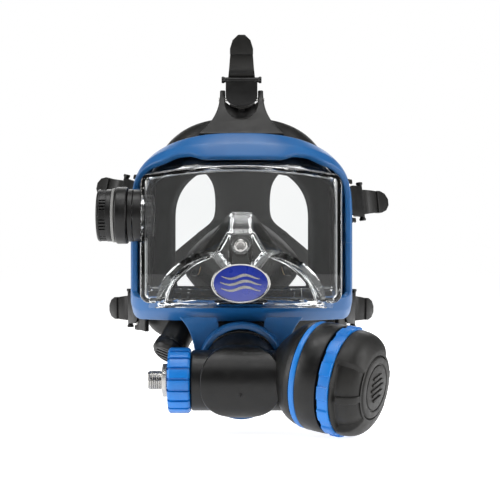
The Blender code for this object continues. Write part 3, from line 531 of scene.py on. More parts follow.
def neck_point(radius, angle, along):
    """A point of the collar, which hangs off the neck's centre most at angle 0, its top."""
    drop = COLLAR_DROP * (0.5 + 0.5 * cos(angle))
    return NECK @ Vector((radius * sin(angle), radius * cos(angle), along)) - Vector((0, 0, drop))


def collar():
    """The chin collar round the regulator's neck, and two fins that join it to the band."""
    loops, steps = [], 96
    for k in range(steps):
        a = tau * k / steps
        inner, outer = [COLLAR_FACE - r * cos(a) * COLLAR_SLOPE for r in (COLLAR_IN, COLLAR_OUT)]
        section = rounded([(COLLAR_IN, inner), (COLLAR_OUT, outer), (COLLAR_OUT, COLLAR_BACK),
                           (COLLAR_IN, COLLAR_BACK)], 1.3, 4)
        loops.append([neck_point(r, a, along) for r, along in section])
    piece("chin_collar", loft(loops, ring=True), "blue", angle=40)
    rows, across = 14, 16
    for sign in (-1, 1):
        grid = []
        for j in range(rows + 1):
            t = j / rows
            row = []
            for k in range(across + 1):
                s = sign * (0.40 + 0.60 * k / across)
                top = Vector((46.0 * s, -57.0 + 5.0 * s * s, -66.0))
                low = neck_point(31.2, 1.45 * s, 12.0 + 6.0 * s * s)
                pull = Vector((33.0 * s, -60.0, -77.0))
                row.append(bezier(top, pull, low, t))
            grid.append(row)
        name = f"collar_fin_{'right' if sign > 0 else 'left'}"
        piece(name, sheet(grid, 3.0), "blue", angle=40, bevel=0.6)


def sheet(grid, thick):
    """A closed sheet of even thickness from rows of points, thickened to the rear."""
    def normal(j, k):
        along = grid[min(j + 1, len(grid) - 1)][k] - grid[max(j - 1, 0)][k]
        across = grid[j][min(k + 1, len(grid[0]) - 1)] - grid[j][max(k - 1, 0)]
        n = along.cross(across).normalized()
        return n if n.y > 0 else -n

    loops = []
    for j, row in enumerate(grid):
        behind = [p + normal(j, k) * thick for k, p in enumerate(row)]
        loops.append(row + behind[::-1])
    return loft(loops)


# ----------------------------------------------------------------- lens


def soft_min(first, second, width=2.4):
    """The smaller of two heights, with the crease between them rounded over the width."""
    near = np.maximum(width - np.abs(first - second), 0.0)
    return np.minimum(first, second) - near ** 2 / (4 * width)


def pocket_height(x, z):
    """How far the pocket for nose and mouth stands out from the panel, on numpy grids."""
    x = np.abs(x)
    foot, edge = -54.4, 0.87
    rho = np.sqrt((x / 61.5) ** 2 + (np.maximum(z - foot, 0.0) / 42.0) ** 2)
    wall = (1.0 - rho) / (1.0 - edge) * 14.0
    crown = 13.0 + 7.0 * (1.0 - (rho / edge) ** 2)
    mouth = soft_min(wall, crown)
    # The nose is cut from flats: sides, slopes under the cheeks, a bevel on top and the face.
    side = 2.1 * ((8.6 - x) * 0.8 + (10.6 - z) * 0.6)
    under = 13.0 + 1.9 * ((24.5 - x) * 0.866 + (z + 14.1) * 0.5)
    bevel = (11.0 - z) * 1.25
    face = np.minimum(17.2 + (-2.0 - z) * 0.3, 24.6)
    flat = soft_min(soft_min(side, bevel), soft_min(face, under))
    rib = 0.8 * np.clip(1.8 - np.abs(x - 7.2), 0, 1) * (z > -30) * (z < 7)
    nose = flat + rib
    height = -soft_min(-mouth, -nose)
    height = np.where(z < foot, np.minimum(height, (z + 58.0) * 6.0), height)
    return np.maximum(height, -1.0)


def pocket_solid(name, inner):
    """The pocket as a closed height field; inner is its hollow, one wall thinner."""
    step = 0.9
    xs = np.arange(-66.6, 66.7, step)
    zs = np.arange(-58.5, 16.3, step)
    grid_x, grid_z = np.meshgrid(xs, zs)
    height = pocket_height(grid_x, grid_z)
    if inner:
        eroded = np.full_like(height, 1e3)
        for dx in np.linspace(-LENS_WALL, LENS_WALL, 7):
            for dz in np.linspace(-LENS_WALL, LENS_WALL, 7):
                left = LENS_WALL ** 2 - dx * dx - dz * dz
                if left >= 0:
                    moved = pocket_height(grid_x + dx, grid_z + dz) - sqrt(left)
                    eroded = np.minimum(eroded, moved)
        height = np.maximum(eroded, -LENS_WALL - 2.0)
    front = PANEL_Y + 0.15 - height
    back = PANEL_Y + (LENS_WALL + 3.0 if inner else 1.6)
    bm = bmesh.new()
    faces = [[[bm.verts.new((float(x), float(y), float(z))) for x, y in zip(xs, row)]
              for z, row in zip(zs, rows)]
             for rows in (np.minimum(front, back - 0.3), np.full_like(front, back))]
    for side in faces:
        for j in range(len(zs) - 1):
            for k in range(len(xs) - 1):
                bm.faces.new((side[j][k], side[j][k + 1], side[j + 1][k + 1], side[j + 1][k]))
    outer = [(0, k) for k in range(len(xs))] + [(j, len(xs) - 1) for j in range(1, len(zs))]
    outer += [(len(zs) - 1, k) for k in range(len(xs) - 2, -1, -1)]
    outer += [(j, 0) for j in range(len(zs) - 2, 0, -1)]
    for (j, k), (m, n) in zip(outer, outer[1:] + outer[:1]):
        bm.faces.new((faces[0][j][k], faces[0][m][n], faces[1][m][n], faces[1][j][k]))
    return helper(name, bm)


def lens():
    """The clear tray: flat panel, sloped walls, flange under the frame, pocket and bosses."""
    def flat(inset, back):
        return [Vector((x, PANEL_Y + back, z)) for x, z in visor_outline(**PANEL, inset=inset)]

    def rim(along, depth):
        return [on_rim(s, along, depth) for s in RIM]

    loops = [flat(5.5, LENS_WALL), flat(4.5, LENS_WALL), flat(3.4, LENS_WALL + 0.6),
             flat(2.9, LENS_WALL + 1.8), rim(-0.25, 8.6), rim(0.74, 8.6), rim(0.74, 5.9),
             rim(-0.13, 5.9), flat(0.0, 2.6), flat(0.15, 1.4), flat(0.7, 0.5), flat(1.7, 0),
             flat(2.6, 0)]
    visor = piece("visor_clear", loft(loops), "clear", nodes=["visor_lens"], angle=25)
    boss = spun(rounded([(0, -9.0), (6.2, -9.0), (6.2, -0.6), (0, -0.6)], 0.8), 64)
    port = spun([(0, 70.5), (17.6, 70.5), (17.6, 79.0), (0, 79.0)], 80)
    boolean(visor, [pocket_solid("pocket", False), helper("boss", boss, STEM),
                    helper("port", port, ABV)], "UNION")
    hole = spun([(0, -30.0), (2.4, -30.0), (2.4, 5.0), (0, 5.0)], 32)
    bore = spun([(0, 60.0), (13.0, 60.0), (13.0, 90.0), (0, 90.0)], 64)
    boolean(visor, [pocket_solid("hollow", True), helper("hole", hole, STEM),
                    helper("bore", bore, ABV)], "DIFFERENCE")
    visor.data.shade_smooth()
    visor.data.set_sharp_from_angle(angle=radians(38))
    for face in visor.data.polygons:
        if len(face.vertices) > FLAT_CORNERS:
            for corner in face.loop_indices:
                visor.data.edges[visor.data.loops[corner].edge_index].use_edge_sharp = True


def badge():
    """An oval badge: raised rim, enamel face and three plain waves."""
    place = pose(BADGE_AT, (0, -1, 0))
    oval = place @ Matrix.Diagonal((1, 0.668, 1, 1))
    face = [(0, 0), (20.0, 0), (20.0, 1.2), (0, 1.2)]
    turned("badge_face", face, "badge", oval, 0.3, nodes=["badge_plate"])
    rim = [(18.9, 0.2), (20.8, 0.2), (20.8, 1.7), (20.2, 2.2), (19.3, 2.0), (18.9, 1.4)]
    turned("badge_rim", rim, "steel", oval, 0.3)
    for k, level in enumerate((4.6, 0.4, -3.8)):
        reach = 14.5 * sqrt(1 - (level / 12.5) ** 2)
        wave = []
        for i in range(41):
            t = i / 40
            middle = level + 1.3 * sin(2.6 * pi * (t - 0.5) + 0.6)
            wave.append((-reach + 2 * reach * t, middle, 0.25 + 0.75 * sin(pi * t)))
        outline = [(x, y + w) for x, y, w in wave] + [(x, y - w) for x, y, w in reversed(wave)]
        piece(f"badge_wave_{k}", prism(outline, 1.1, 1.55), "steel", place=place)


# ---------------------------------------------------------- face pieces


def seal_y(x):
    return -6 + 26 * abs(x / 75) ** 2


def skirt():
    """Rubber skirt from the frame's bead to the turned-in seal on the face."""
    mid_line = arched_outline(77.0, 83.5, 17.0, -84.0, 22.0, 2.6)
    mid_line = [(x * (1 - 0.075 * smoothstep(20.0, 50.0, z)), z) for x, z in mid_line]
    back_line = arched_outline(75.0, 81.0, 17.0, -82.0, 26.0, 2.5)
    open_line = arched_outline(52.0, 50.0, 8.0, -58.0, 22.0, 2.3)
    loops = []
    for i, station in enumerate(RIM):
        def spot(outline, y, inset=0.0):
            x, z = outline[i]
            return Vector((x, y, z)) + Vector((-x, 0, 2 - z)).normalized() * inset

        mid_y = station[1].y + 18
        back_y = max(seal_y(back_line[i][0]), mid_y + 6)
        open_y = seal_y(open_line[i][0])
        outer = smooth_path([on_rim(station, 0.78, 10.4), on_rim(station, 1.05, 9.2),
                             on_rim(station, 1.22, 11.5), spot(mid_line, mid_y),
                             spot(back_line, back_y), spot(back_line, back_y + 2, 4),
                             spot(open_line, open_y + 1.4, -6), spot(open_line, open_y)], 4)
        inner = smooth_path([spot(open_line, open_y - 1.6), spot(open_line, open_y - 1.2, -6),
                             spot(back_line, back_y - 2.5, 6), spot(mid_line, mid_y, 3.6),
                             on_rim(station, 1.0, 13.6), on_rim(station, 0.1, 13.2)], 4)
        loops.append([on_rim(station, 0.1, 10.6)] + outer + inner)
    piece("skirt_rubber", loft(loops, ring=True), "rubber", nodes=["face_skirt"], angle=50)
    tube = [(20.3, 33.2), (23.5, 33.2), (23.5, 58.0), (20.3, 58.0)]
    turned("chin_tube", tube, "rubber", NECK, 0.8, 72)
    neck = [(9.0, -19.0), (11.5, -19.0), (11.5, 0.0), (9.0, 0.0)]
    turned("exhaust_neck", neck, "rubber", EXHAUST, 0.6, 56)
    for name, spec in BUCKLES.items():
        if name == "top":
            top_lug(buckle_pose(spec))
        else:
            lug(name, buckle_pose(spec))


def lug_outline(foot, low, ear, half, flare, steps, bowl):
    """A web that narrows from its foot up to two ears, with a bowl sunk between them."""
    side = []
    for k in range(steps + 1):
        t = k / steps
        side.append((half + (foot - half) * (1 - t) ** flare, low + (ear - low) * t))
    outline = side + [(bowl[0][0], ear)] + bowl
    return outline + [(-x, y) for x, y in reversed(outline[:-1])]


def lug(name, place):
    """Two ears that hold a buckle's pin, on a web that flares into the skirt."""
    bowl = [(13.4 * cos(a), 0.2 - 7.0 * sin(a)) for a in quarter(8)]
    outline = lug_outline(18.5, -17.0, 3.6, 17.2, 2.3, 12, bowl)
    piece(f"lug_{name}", prism(outline, -1.8, 1.8), "rubber", place=place, bevel=0.8)


def top_lug(place):
    """The wide top lug leans back over the skirt; a bowl is sunk between its ears."""
    place = place @ Matrix.Rotation(radians(-43.0), 4, "X")
    low, middle = -40.0, -3.0
    bowl = [(12.6 * cos(a), middle - 21.0 * sin(a)) for a in quarter(12)]
    outline = lug_outline(32.5, low, 8.2, 16.7, 2.6, 20, bowl)
    piece("lug_top", prism(outline, -2.5, 2.5), "rubber", place=place, bevel=1.0)
    wedge = hull(mirrored([(29.5, low + 1.0, 1.0), (29.5, low + 1.0, -11.0),
                           (20.0, -25.0, 1.0), (20.0, -25.0, -8.0)]))
    piece("lug_top_wedge", wedge, "rubber", place=place, bevel=1.0)
    rows, half_turn = [], [pi * k / 32 for k in range(33)]
    for j in range(11):
        scale, depth = 1 - 0.8 * j / 10, 1.8 - 8.0 * sin(pi / 2 * j / 10)
        rows.append([place @ Vector((13.6 * scale * cos(a), middle - 22.0 * scale * sin(a), depth))
                     for a in half_turn])
    piece("top_lug_bowl", sheet(rows, 1.2), "black")


def oral_nasal_cup():
    """The soft inner mask over nose and mouth."""
    spans = [(-81, 12.5, -15, -42), (-79.5, 15.5, -12, -43), (-73, 21, -7, -43), (-58, 33, 4, -41.5),
             (-44, 39, 7, -48.5), (-26, 42.5, 8.4, -54.5), (-14, 45, 9, -58)]
    path = smooth_path([Vector((half, y, top)) for y, half, top, _ in spans], 4)
    lows = smooth_path([Vector((low, y, 0)) for y, _, _, low in spans], 4)

    def ring(p, low, inset):
        middle, rise = (p.z + low) / 2, (p.z - low) / 2 - inset
        points = []
        for k in range(64):
            a = tau * k / 64
            narrow = 1 - 0.42 * max(sin(a), 0.0)
            sunk = 2.0 if inset and p.y < -79 else 0
            points.append(((p.x - inset) * cos(a) * narrow, p.y + sunk, middle + rise * sin(a)))
        return points

    outer = [ring(p, q.x, 0.0) for p, q in zip(path, lows)]
    inner = [ring(p, q.x, 2.0) for p, q in zip(path, lows)]
    piece("cup_rubber", loft(outer + inner[::-1]), "cup", nodes=["oral_nasal_cup"], angle=50)


# ------------------------------------------------- ambient breathing valve


def ambient_valve():
    def knurl(a, radius, z):
        return radius - (0.5 if radius > 14.5 and sin(18 * a) > 0.2 else 0)

    turned("abv_neck", [(9.5, 64.4), (12.6, 64.4), (12.6, 79.3), (19.4, 79.3), (19.4, 83.0),
                        (12.0, 83.0), (12.0, 84.6), (9.5, 84.6)], "black", ABV, nodes=["abv_base"])
    sleeve = [(17.8, 72.0), (19.2, 72.0), (19.2, 79.0), (17.8, 79.0)]
    turned("abv_sleeve", sleeve, "black", ABV, 0.4)
    nut = spun(rounded([(13.0, 64.6), (15.6, 64.6), (15.6, 69.4), (13.0, 69.4)], 0.5), 96, knurl)
    piece("abv_nut", nut, "black", nodes=["abv_inner_nut"], place=ABV)
    turned("abv_ring", [(15.6, 83.3), (20.2, 83.3), (21.0, 84.3), (21.0, 91.4), (20.0, 92.5),
                        (15.6, 92.5)], "black", ABV, 1.0, nodes=["abv_housing_ring"])
    seal = [(15.6, 92.8), (19.9, 92.8), (19.9, 94.8), (15.6, 94.8)]
    turned("abv_seal", seal, "pale", ABV, 0.3, nodes=["abv_gasket"])
    cap = spun(rounded([(0, 105.6), (0, 103.2), (17.0, 103.2), (19.3, 103.2), (19.3, 104.6),
                        (18.3, 105.6)], 0.8), 96)
    foot = spun(rounded([(16.0, 95.1), (19.3, 95.1), (19.3, 98.8), (16.0, 98.8)], 0.4), 96)
    stem = spun(rounded([(0, 99.0), (2.2, 99.0), (2.2, 105.0), (0, 105.0)], 0.4), 32)
    piece("abv_cap", merged(cap, foot, stem), "black", "abv_cage", ["abv_cage"], ABV)
    groups, per_group = 8, 4  # in each group a wide bar, then three thin ones
    for k in range(groups * per_group):
        group, nth = divmod(k, per_group)
        wide = 0.75 if nth else 3.3
        offset = 0.5 + (nth - per_group / 2) * 0.17 if nth else 0.0
        bar = block((-wide, wide), (16.4, 18.9), (98.0, 104.0))
        bar.transform(Matrix.Rotation(tau * (group + offset) / groups, 4, "Z"))
        piece(f"abv_bar_{k}", bar, "black", "abv_cage", place=ABV, bevel=0.3)


# -------------------------------------------------------------- regulator


def regulator():
    tube = [(0, -50), (17.2, -50), (17.2, -35.4), (20.4, -35.4), (21.7, -34.6), (21.7, 34), (0, 34)]
    turned("regulator_tube", tube, "black", TUBE, 0.7, 128, nodes=["regulator_body"])
    piece("regulator_dome", barrel(), "black", angle=40)
    neck = [(0, 31.0), (26.6, 31.0), (27.0, 30.0), (27.0, 2.0), (0, 2.0)]
    turned("regulator_neck", neck, "black", NECK, 0.4, 128, fillet=2)
    spigot = [(17.0, 30.0), (20.0, 30.0), (20.0, 52.0), (17.0, 52.0)]
    turned("regulator_spigot", spigot, "black", NECK)
    flare = smooth_path([(0, -22), (18.5, -22.5), (25, -18.5), (30.5, -12.5), (34.5, -7.5),
                         (37.0, -2.4)], 5)
    profile = [(max(p.x, 0.0), p.y) for p in flare]
    profile += [(37.6, 0.4), (37.8, 1.2), (36.0, 1.4), (36.0, 6.2), (38.6, 6.5), (38.9, 7.4),
                (38.9, 20.6), (38.2, 21.8), (35.0, 21.8), (35.0, 31.8), (33.2, 31.8), (33.2, 0.0),
                (30, -4), (20, -9), (0, -9)]
    piece("bell_case", spun(profile, 144), "black", place=BELL)
    gate = spun(rounded([(0.5, -1.0), (1.2, -1.0), (1.2, 0.35), (0.5, 0.35)], 0.15), 32)
    gate.transform(pose((0.0, TUBE_AT[1] - BARREL_R + 0.9, TUBE_AT[2] - 8.0), (0, -1, -0.3)))
    piece("gate_mark", gate, "black")
    inlet()
    bell()


def barrel():
    """The swelling where the neck meets the tube: a fat cylinder seen through a round outline."""
    def ring(scale, back):
        loop = []
        for k in range(128):
            a = tau * k / 128
            reach = scale * squircle(a, 2.4)
            x, z = BARREL_WIDE * reach * cos(a), BARREL_HIGH * reach * sin(a)
            y = TUBE_AT[1] - sqrt(max(BARREL_R ** 2 - z * z, 1.0)) + back
            loop.append((x, min(y, TUBE_AT[1] + 12.0), TUBE_AT[2] + z))
        return loop

    shoulder = 0.955
    loops = [ring(scale, 0.0) for scale in (0.02, 0.2, 0.4, 0.6, 0.75, 0.88, shoulder)]
    loops += [ring(shoulder + (1 - shoulder) * sin(a), 1.3 * (1 - cos(a))) for a in quarter(5, 1)]
    loops += [ring(1.0, 6.0), ring(1.0, 22.0)]
    return loft(loops)


def toothed(profile, count, depth, share, steps):
    """A turned ring whose outer face has rectangular notches across it."""
    edge = max(r for r, _ in profile) - 1.6

    def wave(a, r, z):
        if r < edge:
            return r
        turn = (a * count / tau) % 1.0
        inside = smoothstep(0.0, 0.04, turn) * (1 - smoothstep(share, share + 0.04, turn))
        return r - depth * inside

    return spun(profile, steps, wave)


def inlet():
    """Adjuster ring, lock nut and the hose inlet with its helical thread."""
    grip = rounded([(17.5, -51.9), (22.0, -51.9), (23.4, -50.4), (23.4, -37.2), (22.0, -35.8),
                    (17.5, -35.8)], 0.7)
    piece("adjuster_grip", toothed(grip, 18, 1.5, 0.22, 540), "bright_blue", "adjuster",
          ["adjuster_ring"], TUBE, angle=28)
    hexagon = [(12.1 * cos(tau * k / 6), 12.1 * sin(tau * k / 6)) for k in range(6)]
    nut = prism(hexagon, -56.3, -52.3)
    piece("hex_nut", nut, "steel", nodes=["inlet_lock_nut"], place=TUBE, bevel=0.5)
    pitch, crest, root, start, end = 1.411, 7.14, 6.35, -66.0, -57.0
    steps, rings = 64, 86
    loops = []
    for j in range(rings + 1):
        z = start + (end - start) * j / rings
        loop = []
        for k in range(steps):
            a = tau * k / steps
            phase = ((z - start) / pitch + k / steps) % 1.0
            height = min(1.0, max(0.0, 1.35 - 3.0 * abs(phase - 0.5)))
            fade = smoothstep(start, start + 1.0, z) * (1 - smoothstep(end - 1.0, end, z))
            r = root + (crest - root) * height * fade
            loop.append((r * cos(a), r * sin(a), z))
        loops.append(loop)
    thread = loft(loops, caps=False)
    body = spun(rounded([(4.2, -66.8), (6.0, -66.8), (root, -66.3), (root, -56.9), (7.1, -56.5),
                         (7.1, -24.6), (4.2, -24.6)], 0.25), 96)
    piece("inlet_thread", merged(body, thread), "steel", nodes=["inlet_fitting"], place=TUBE,
          angle=50)


def cover_wave(a, radius, z):
    """Sinks the purge cover on both sides, so that a rounded lobe stands at top and bottom."""
    face_radius, low, high, depth = 25.0, 33.0, 35.0, 0.115
    if radius < face_radius or z < low:
        return radius
    off = min(abs((a - pi / 2 + pi) % tau - pi), abs((a + pi / 2 + pi) % tau - pi))
    sunk = smoothstep(radians(44), radians(49), off)
    return radius * (1 - depth * sunk * smoothstep(low, high, z))


def bell():
    colour = [(35.0, 1.6), (38.0, 1.6), (38.5, 2.4), (38.5, 5.2), (38.0, 6.0), (35.0, 6.0)]
    turned("accent_ring", colour, "bright_blue", BELL, 0.4, 144, nodes=["colour_ring"])
    ring = rounded([(35.0, 23.4), (38.4, 23.4), (39.3, 24.2), (39.3, 31.0), (38.4, 31.8),
                    (35.0, 31.8)], 0.5)
    piece("grip_ring", toothed(ring, 14, 1.2, 0.45, 560), "bright_blue", nodes=["retaining_ring"],
          place=BELL, angle=28)
    side = smooth_path([(37.2, 32.2), (37.4, 34.6), (36.8, 39.0), (34.8, 43.6), (31.0, 47.4),
                        (26.6, 49.7), (23.2, 50.4)], 5)
    profile = [(p.x, p.y) for p in side]
    profile += [(22.7, 50.2), (22.6, 47.0), (26.0, 44.4), (29.8, 40.0), (31.0, 36.0), (31.0, 32.2)]
    piece("purge_shell", spun(profile, 288, cover_wave), "soft_black", nodes=["purge_cover"],
          place=BELL, angle=28)
    for k in range(2):
        rib = hull(mirrored([(2.4, 23.6, 50.4), (2.4, 29.0, 48.6), (2.4, 33.6, 43.6), (2.4, 35.4, 36.0),
                             (2.4, 30.5, 36.0), (2.4, 24.0, 46.0)]))
        rib.transform(Matrix.Rotation(pi * k + pi / 2, 4, "Z"))
        piece(f"purge_rib_{k}", rib, "soft_black", place=BELL, bevel=0.6)
    button = [(0, 46.0), (21.4, 46.0), (22.2, 46.6), (22.2, 49.8), (21.2, 51.0), (17.2, 51.4),
              (16.8, 50.5), (16.0, 50.5), (15.6, 51.4), (0, 51.8)]
    core = spun(rounded([(0, 22.0), (6.0, 22.0), (6.0, 48.5), (0, 48.5)], 0.5), 48)
    piece("purge_face", merged(spun(rounded(button, 0.3, 2), 96), core), "soft_black",
          "purge_button", ["purge_button"], BELL)
    for k in range(5):
        reach = 9.5 - 1.6 * abs(k - 2)
        y = 4.0 * (k - 2)
        bar = block((-reach, reach), (y - 0.9, y + 0.9), (50.6, 52.6))
        piece(f"purge_grip_{k}", bar, "soft_black", "purge_button", place=BELL, bevel=0.35)


# ---------------------------------------------------------------- harness


def buckle_pose(spec):
    """Local X along the pin, Y along the strap's free end, Z out of the face."""
    y = Vector(spec["out"]).normalized()
    z = Vector(spec["front"])
    z = (z - z.dot(y) * y).normalized()
    turn = Matrix((y.cross(z), y, z)).transposed().to_4x4()
    return Matrix.Translation(Vector(spec["at"])) @ turn


def strap_section(half, thick):
    """A strap's section as (across, out) points: edge beads and a slightly sunk middle."""
    top, sunk, bead, slope = thick / 2, 0.35, 1.6, 2.2
    return rounded([(-half, top), (bead - half, top), (slope - half, top - sunk),
                    (half - slope, top - sunk), (half - bead, top), (half, top),
                    (half, -top), (-half, -top)], 0.45, 2, axis=False)


def ribbon(path, halves, wides, thick):
    """A strap along a path; halves and wides give its half-width and the way across."""
    loops = []
    for i, here in enumerate(path):
        tangent = (path[min(i + 1, len(path) - 1)] - path[max(i - 1, 0)]).normalized()
        across = (wides[i] - wides[i].dot(tangent) * tangent).normalized()
        out = tangent.cross(across)
        loops.append([here + across * x + out * y for x, y in strap_section(halves[i], thick)])
    return loft(loops)


def buckle(name, spec):
    place = buckle_pose(spec)
    body = f"buckle_{name}"
    outline = [(-12.0, 13.8), (-12.2, 4.0)]
    outline += [(-12.2 * cos(a) ** 0.7, 3.0 - 7.9 * sin(a)) for a in quarter(10, 1)[:-1]]
    outline += [(-x, y) for x, y in reversed(outline)]
    shield = hull([(x, y, z) for x, y in outline for z in (0.8, 2.5)])
    piece(f"{body}_shield", shield, "black", body, place=place, bevel=0.7)
    tongue = hull([(x, y, z) for x, y in outline if y <= 5.2 for z in (-2.2, 2.2)] +
                  [(x, 5.2, z) for x in (-12.2, 12.2) for z in (-2.2, 2.2)])
    piece(f"{body}_tongue", tongue, "black", body, [body], place, bevel=0.9)
    for sign in (-1, 1):
        arm = block((sign * 9.9, sign * 12.2), (4.6, 15.0), (-2.2, 2.2))
        side = "left" if sign < 0 else "right"
        piece(f"{body}_arm_{side}", arm, "black", body, place=place, bevel=0.7)
    bar = [(0, -15.4), (2.6, -15.4), (2.6, -13.6), (2.0, -13.0), (2.0, 13.0), (2.6, 13.6),
           (2.6, 15.4), (0, 15.4)]
    along_x = Matrix.Translation((0, 15.0, 0)) @ Matrix.Rotation(pi / 2, 4, "Y")
    turned(f"{body}_bar", bar, "black", place @ along_x, steps=40, body=body)
    tail(name, body, place)


def tail(name, body, place):
    """The strap's free end: it comes over the bar and ends in a thick six-sided pull tab."""
    spots = [(0, 12.5, -3.6), (0, 16.0, -3.5), (0, 20.0, -1.6), (0, 24.0, 0.6), (0, 30.0, 1.8),
             (0, 36.0, 1.7)]
    path = [place @ p for p in smooth_path(spots, 5)]
    across = place.to_3x3() @ Vector((1, 0, 0))
    last = len(path) - 1
    strap = ribbon(path, [11.0 - 2.4 * k / last for k in range(last + 1)], [across] * (last + 1), 1.9)
    piece(f"strap_end_{name}", strap, "rubber", body, [f"strap_tail_{name}"])
    tab = [(8.9, 34.0), (8.9, 38.5), (6.9, 45.0), (2.6, 49.2)]
    tab = [(-8.9, 34.0), *tab, *[(-x, y) for x, y in reversed(tab[1:])]]
    piece(f"pull_tab_{name}", prism(tab, -0.6, 4.0), "rubber", body, place=place, bevel=0.6)


def harness():
    """The rubber spider: a waisted back plate and five straps to the buckles."""
    right = smooth_path([(0, 80), (13, 79.5), (24, 73), (38, 71), (44, 64), (40, 55.5), (30, 47.5),
                         (24.6, 35.6), (24.2, 15), (30, 5), (41, -4), (36, -12), (24, -13),
                         (10, -9.5), (0, -8.5)], 5)
    outline = [(p.x, -p.y) for p in right] + [(-p.x, -p.y) for p in reversed(right[1:-1])]
    place = Matrix.Translation((0, 110, 0)) @ Matrix.Rotation(-pi / 2, 4, "X")
    levels = [(0.982, -1.7), (0.995, -1.4), (1.0, -0.8), (1.0, 0.8), (0.995, 1.4), (0.982, 1.7)]
    middle = -35.0
    plate = loft([[(x * scale, middle + (y - middle) * scale, z) for x, y in outline]
                  for scale, z in levels])
    plate.normal_update()
    caps = [face for face in plate.faces if len(face.verts) > 4]
    bmesh.ops.triangulate(plate, faces=caps, ngon_method="EAR_CLIP")
    piece("harness_plate", plate, "rubber", nodes=["harness_spider"], place=place, angle=60)
    for k in range(4):
        x = -12.0 + 8.0 * k
        bar = block((x - 0.8, x + 0.8), (-62.0, -4.0), (1.5, 2.4))
        piece(f"harness_rib_{k}", bar, "rubber", place=place, bevel=0.4)
    for name, arm in ARMS.items():
        local = buckle_pose(BUCKLES[name])
        end = local @ Vector((0, 12.0, -7.8))
        start, pull, wide = Vector(arm["root"]), Vector(arm["pull"]), Vector(arm["wide"]).normalized()
        last = local.to_3x3() @ Vector((1, 0, 0))
        if last.dot(wide) < 0:
            last = -last
        steps = 48
        times = [k / steps for k in range(steps + 1)]
        path = [bezier(start, pull, end, t) for t in times]
        halves = [arm["half"] * (1 - t) + 9.0 * t for t in times]
        strap = ribbon(path, halves, [wide.lerp(last, t) for t in times], 2.4)
        piece(f"harness_strap_{name}", strap, "rubber", angle=45)


# ---------------------------------------------------------- small parts


def knob():
    profile = [(0, -0.2), (3.6, -0.2), (4.65, 0.7), (4.65, 3.4), (3.9, 4.2), (3.0, 4.25),
               (2.6, 3.9), (0, 4.0)]
    turned("nose_knob", profile, "steel", STEM, 0.3, 72, "nose_block", ["nose_block_knob"])


def exhaust():
    rim = [(10.4, 2.5), (12.6, 2.5), (12.8, 8.0), (10.8, 10.6), (8.8, 10.8), (8.8, 9.2), (9.8, 8.4),
           (10.4, 7.4)]
    turned("exhaust_rim", rim, "black", EXHAUST, 0.4, 72, nodes=["exhaust_cover"])
    for k in range(4):
        y = -6.3 + 4.2 * k
        reach = sqrt(9.4 ** 2 - y ** 2)
        bar = block((-reach, reach), (y - 1.1, y + 1.1), (9.0, 10.6))
        piece(f"exhaust_bar_{k}", bar, "black", place=EXHAUST, bevel=0.4)


def dress_nodes():
    """Gives each CAD node that is still shown its material and softened edges."""
    for row in FRAME["record"]["subparts"]:
        node = FRAME["nodes"][row["node"]]
        if node.hide_render:
            continue
        node.data.materials.clear()
        node.data.materials.append(MATERIALS[row["material_slot"]])
        weld = node.modifiers.new("weld", "WELD")
        weld.merge_threshold = 1e-6
        soften(node, 0.2, 2, 40)


# ------------------------------------------------------- camera and light


def aim(obj, at, target):
    obj.location = Vector(at)
    obj.rotation_mode = "QUATERNION"
    obj.rotation_quaternion = (Vector(target) - Vector(at)).to_track_quat("-Z", "Y")


def camera():
    data = bpy.data.cameras.new("camera")
    data.lens = CAMERA_LENS
    data.sensor_width = 36.0
    data.clip_start, data.clip_end = 0.05, 50.0
    obj = linked("camera", data)
    at = Vector(CAMERA_AT) * MM
    aim(obj, at, at + Vector((0, 1, 0)))
    bpy.context.scene.camera = obj


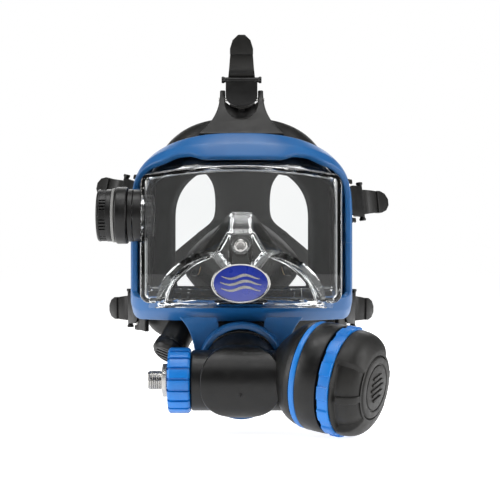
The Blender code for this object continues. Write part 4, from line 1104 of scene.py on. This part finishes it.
def studio():
    bpy.context.scene.view_settings.view_transform = "Standard"
    world = bpy.data.worlds.new("studio")
    world.use_nodes = True
    tree = world.node_tree
    back = tree.nodes["Background"]
    back.inputs["Color"].default_value = (1.0, 1.0, 1.0, 1.0)
    path = tree.nodes.new("ShaderNodeLightPath")
    seen = tree.nodes.new("ShaderNodeMath")
    seen.operation = "MAXIMUM"
    tree.links.new(path.outputs["Is Camera Ray"], seen.inputs[0])
    tree.links.new(path.outputs["Is Transmission Ray"], seen.inputs[1])
    level = tree.nodes.new("ShaderNodeMapRange")
    level.inputs["To Min"].default_value = SHADED_WORLD
    level.inputs["To Max"].default_value = SEEN_WORLD
    tree.links.new(seen.outputs["Value"], level.inputs["Value"])
    tree.links.new(level.outputs["Result"], back.inputs["Strength"])
    bpy.context.scene.world = world
    boxes = {
        "left_softbox": ((-0.95, -0.3, 0.25), (0.3, 0.9), 6.5),
        "right_softbox": ((0.95, -0.3, 0.25), (0.3, 0.9), 6.5),
        "top_softbox": ((0.0, -0.2, 1.0), (0.9, 0.4), 7.0),
        "back_softbox": ((0.0, 1.1, 0.6), (1.2, 0.8), 6.0),
        "fill_softbox": ((0.0, -1.2, 1.5), (1.0, 0.6), 6.5),
    }
    for name, (at, size, power) in boxes.items():
        data = bpy.data.lights.new(name, "AREA")
        data.shape = "RECTANGLE"
        data.size, data.size_y = size
        data.energy = power
        aim(linked(name, data), at, (0, -0.03, -0.02))
    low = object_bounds()[0].z
    bm = bmesh.new()
    bmesh.ops.create_circle(bm, cap_ends=True, radius=6.0, segments=64)
    floor = linked("floor", mesh_of("floor", bm))
    floor.data.materials.append(MATERIALS["floor"])
    floor.location.z = low - FLOOR_GAP
    floor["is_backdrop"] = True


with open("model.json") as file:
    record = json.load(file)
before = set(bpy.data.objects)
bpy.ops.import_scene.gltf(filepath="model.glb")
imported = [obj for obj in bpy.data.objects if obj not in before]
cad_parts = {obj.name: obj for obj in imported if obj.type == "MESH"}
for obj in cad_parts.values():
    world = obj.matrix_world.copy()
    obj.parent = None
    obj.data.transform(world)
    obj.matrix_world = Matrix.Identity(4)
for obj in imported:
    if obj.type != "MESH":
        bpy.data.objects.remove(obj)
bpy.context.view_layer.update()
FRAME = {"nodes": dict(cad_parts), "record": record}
MATERIALS = make_materials()
RIM = rim_stations(INNER, OUTER)
BAND = rim_stations(BAND_INNER, BAND_OUTER)
ABV = pose(ABV_AT, ABV_DIR, (0, 0, 1))
TUBE = pose(TUBE_AT, TUBE_DIR, (0, 0, 1))
NECK = pose(NECK_AT, NECK_DIR)
BELL = pose(BELL_AT, BELL_DIR)
EXHAUST = pose(EXHAUST_AT, EXHAUST_DIR)
STEM = pose(KNOB_AT, KNOB_DIR)
camera()
frame()
lens()
badge()
skirt()
oral_nasal_cup()
ambient_valve()
regulator()
knob()
exhaust()
for buckle_name, buckle_spec in BUCKLES.items():
    buckle(buckle_name, buckle_spec)
harness()
dress_nodes()
studio()
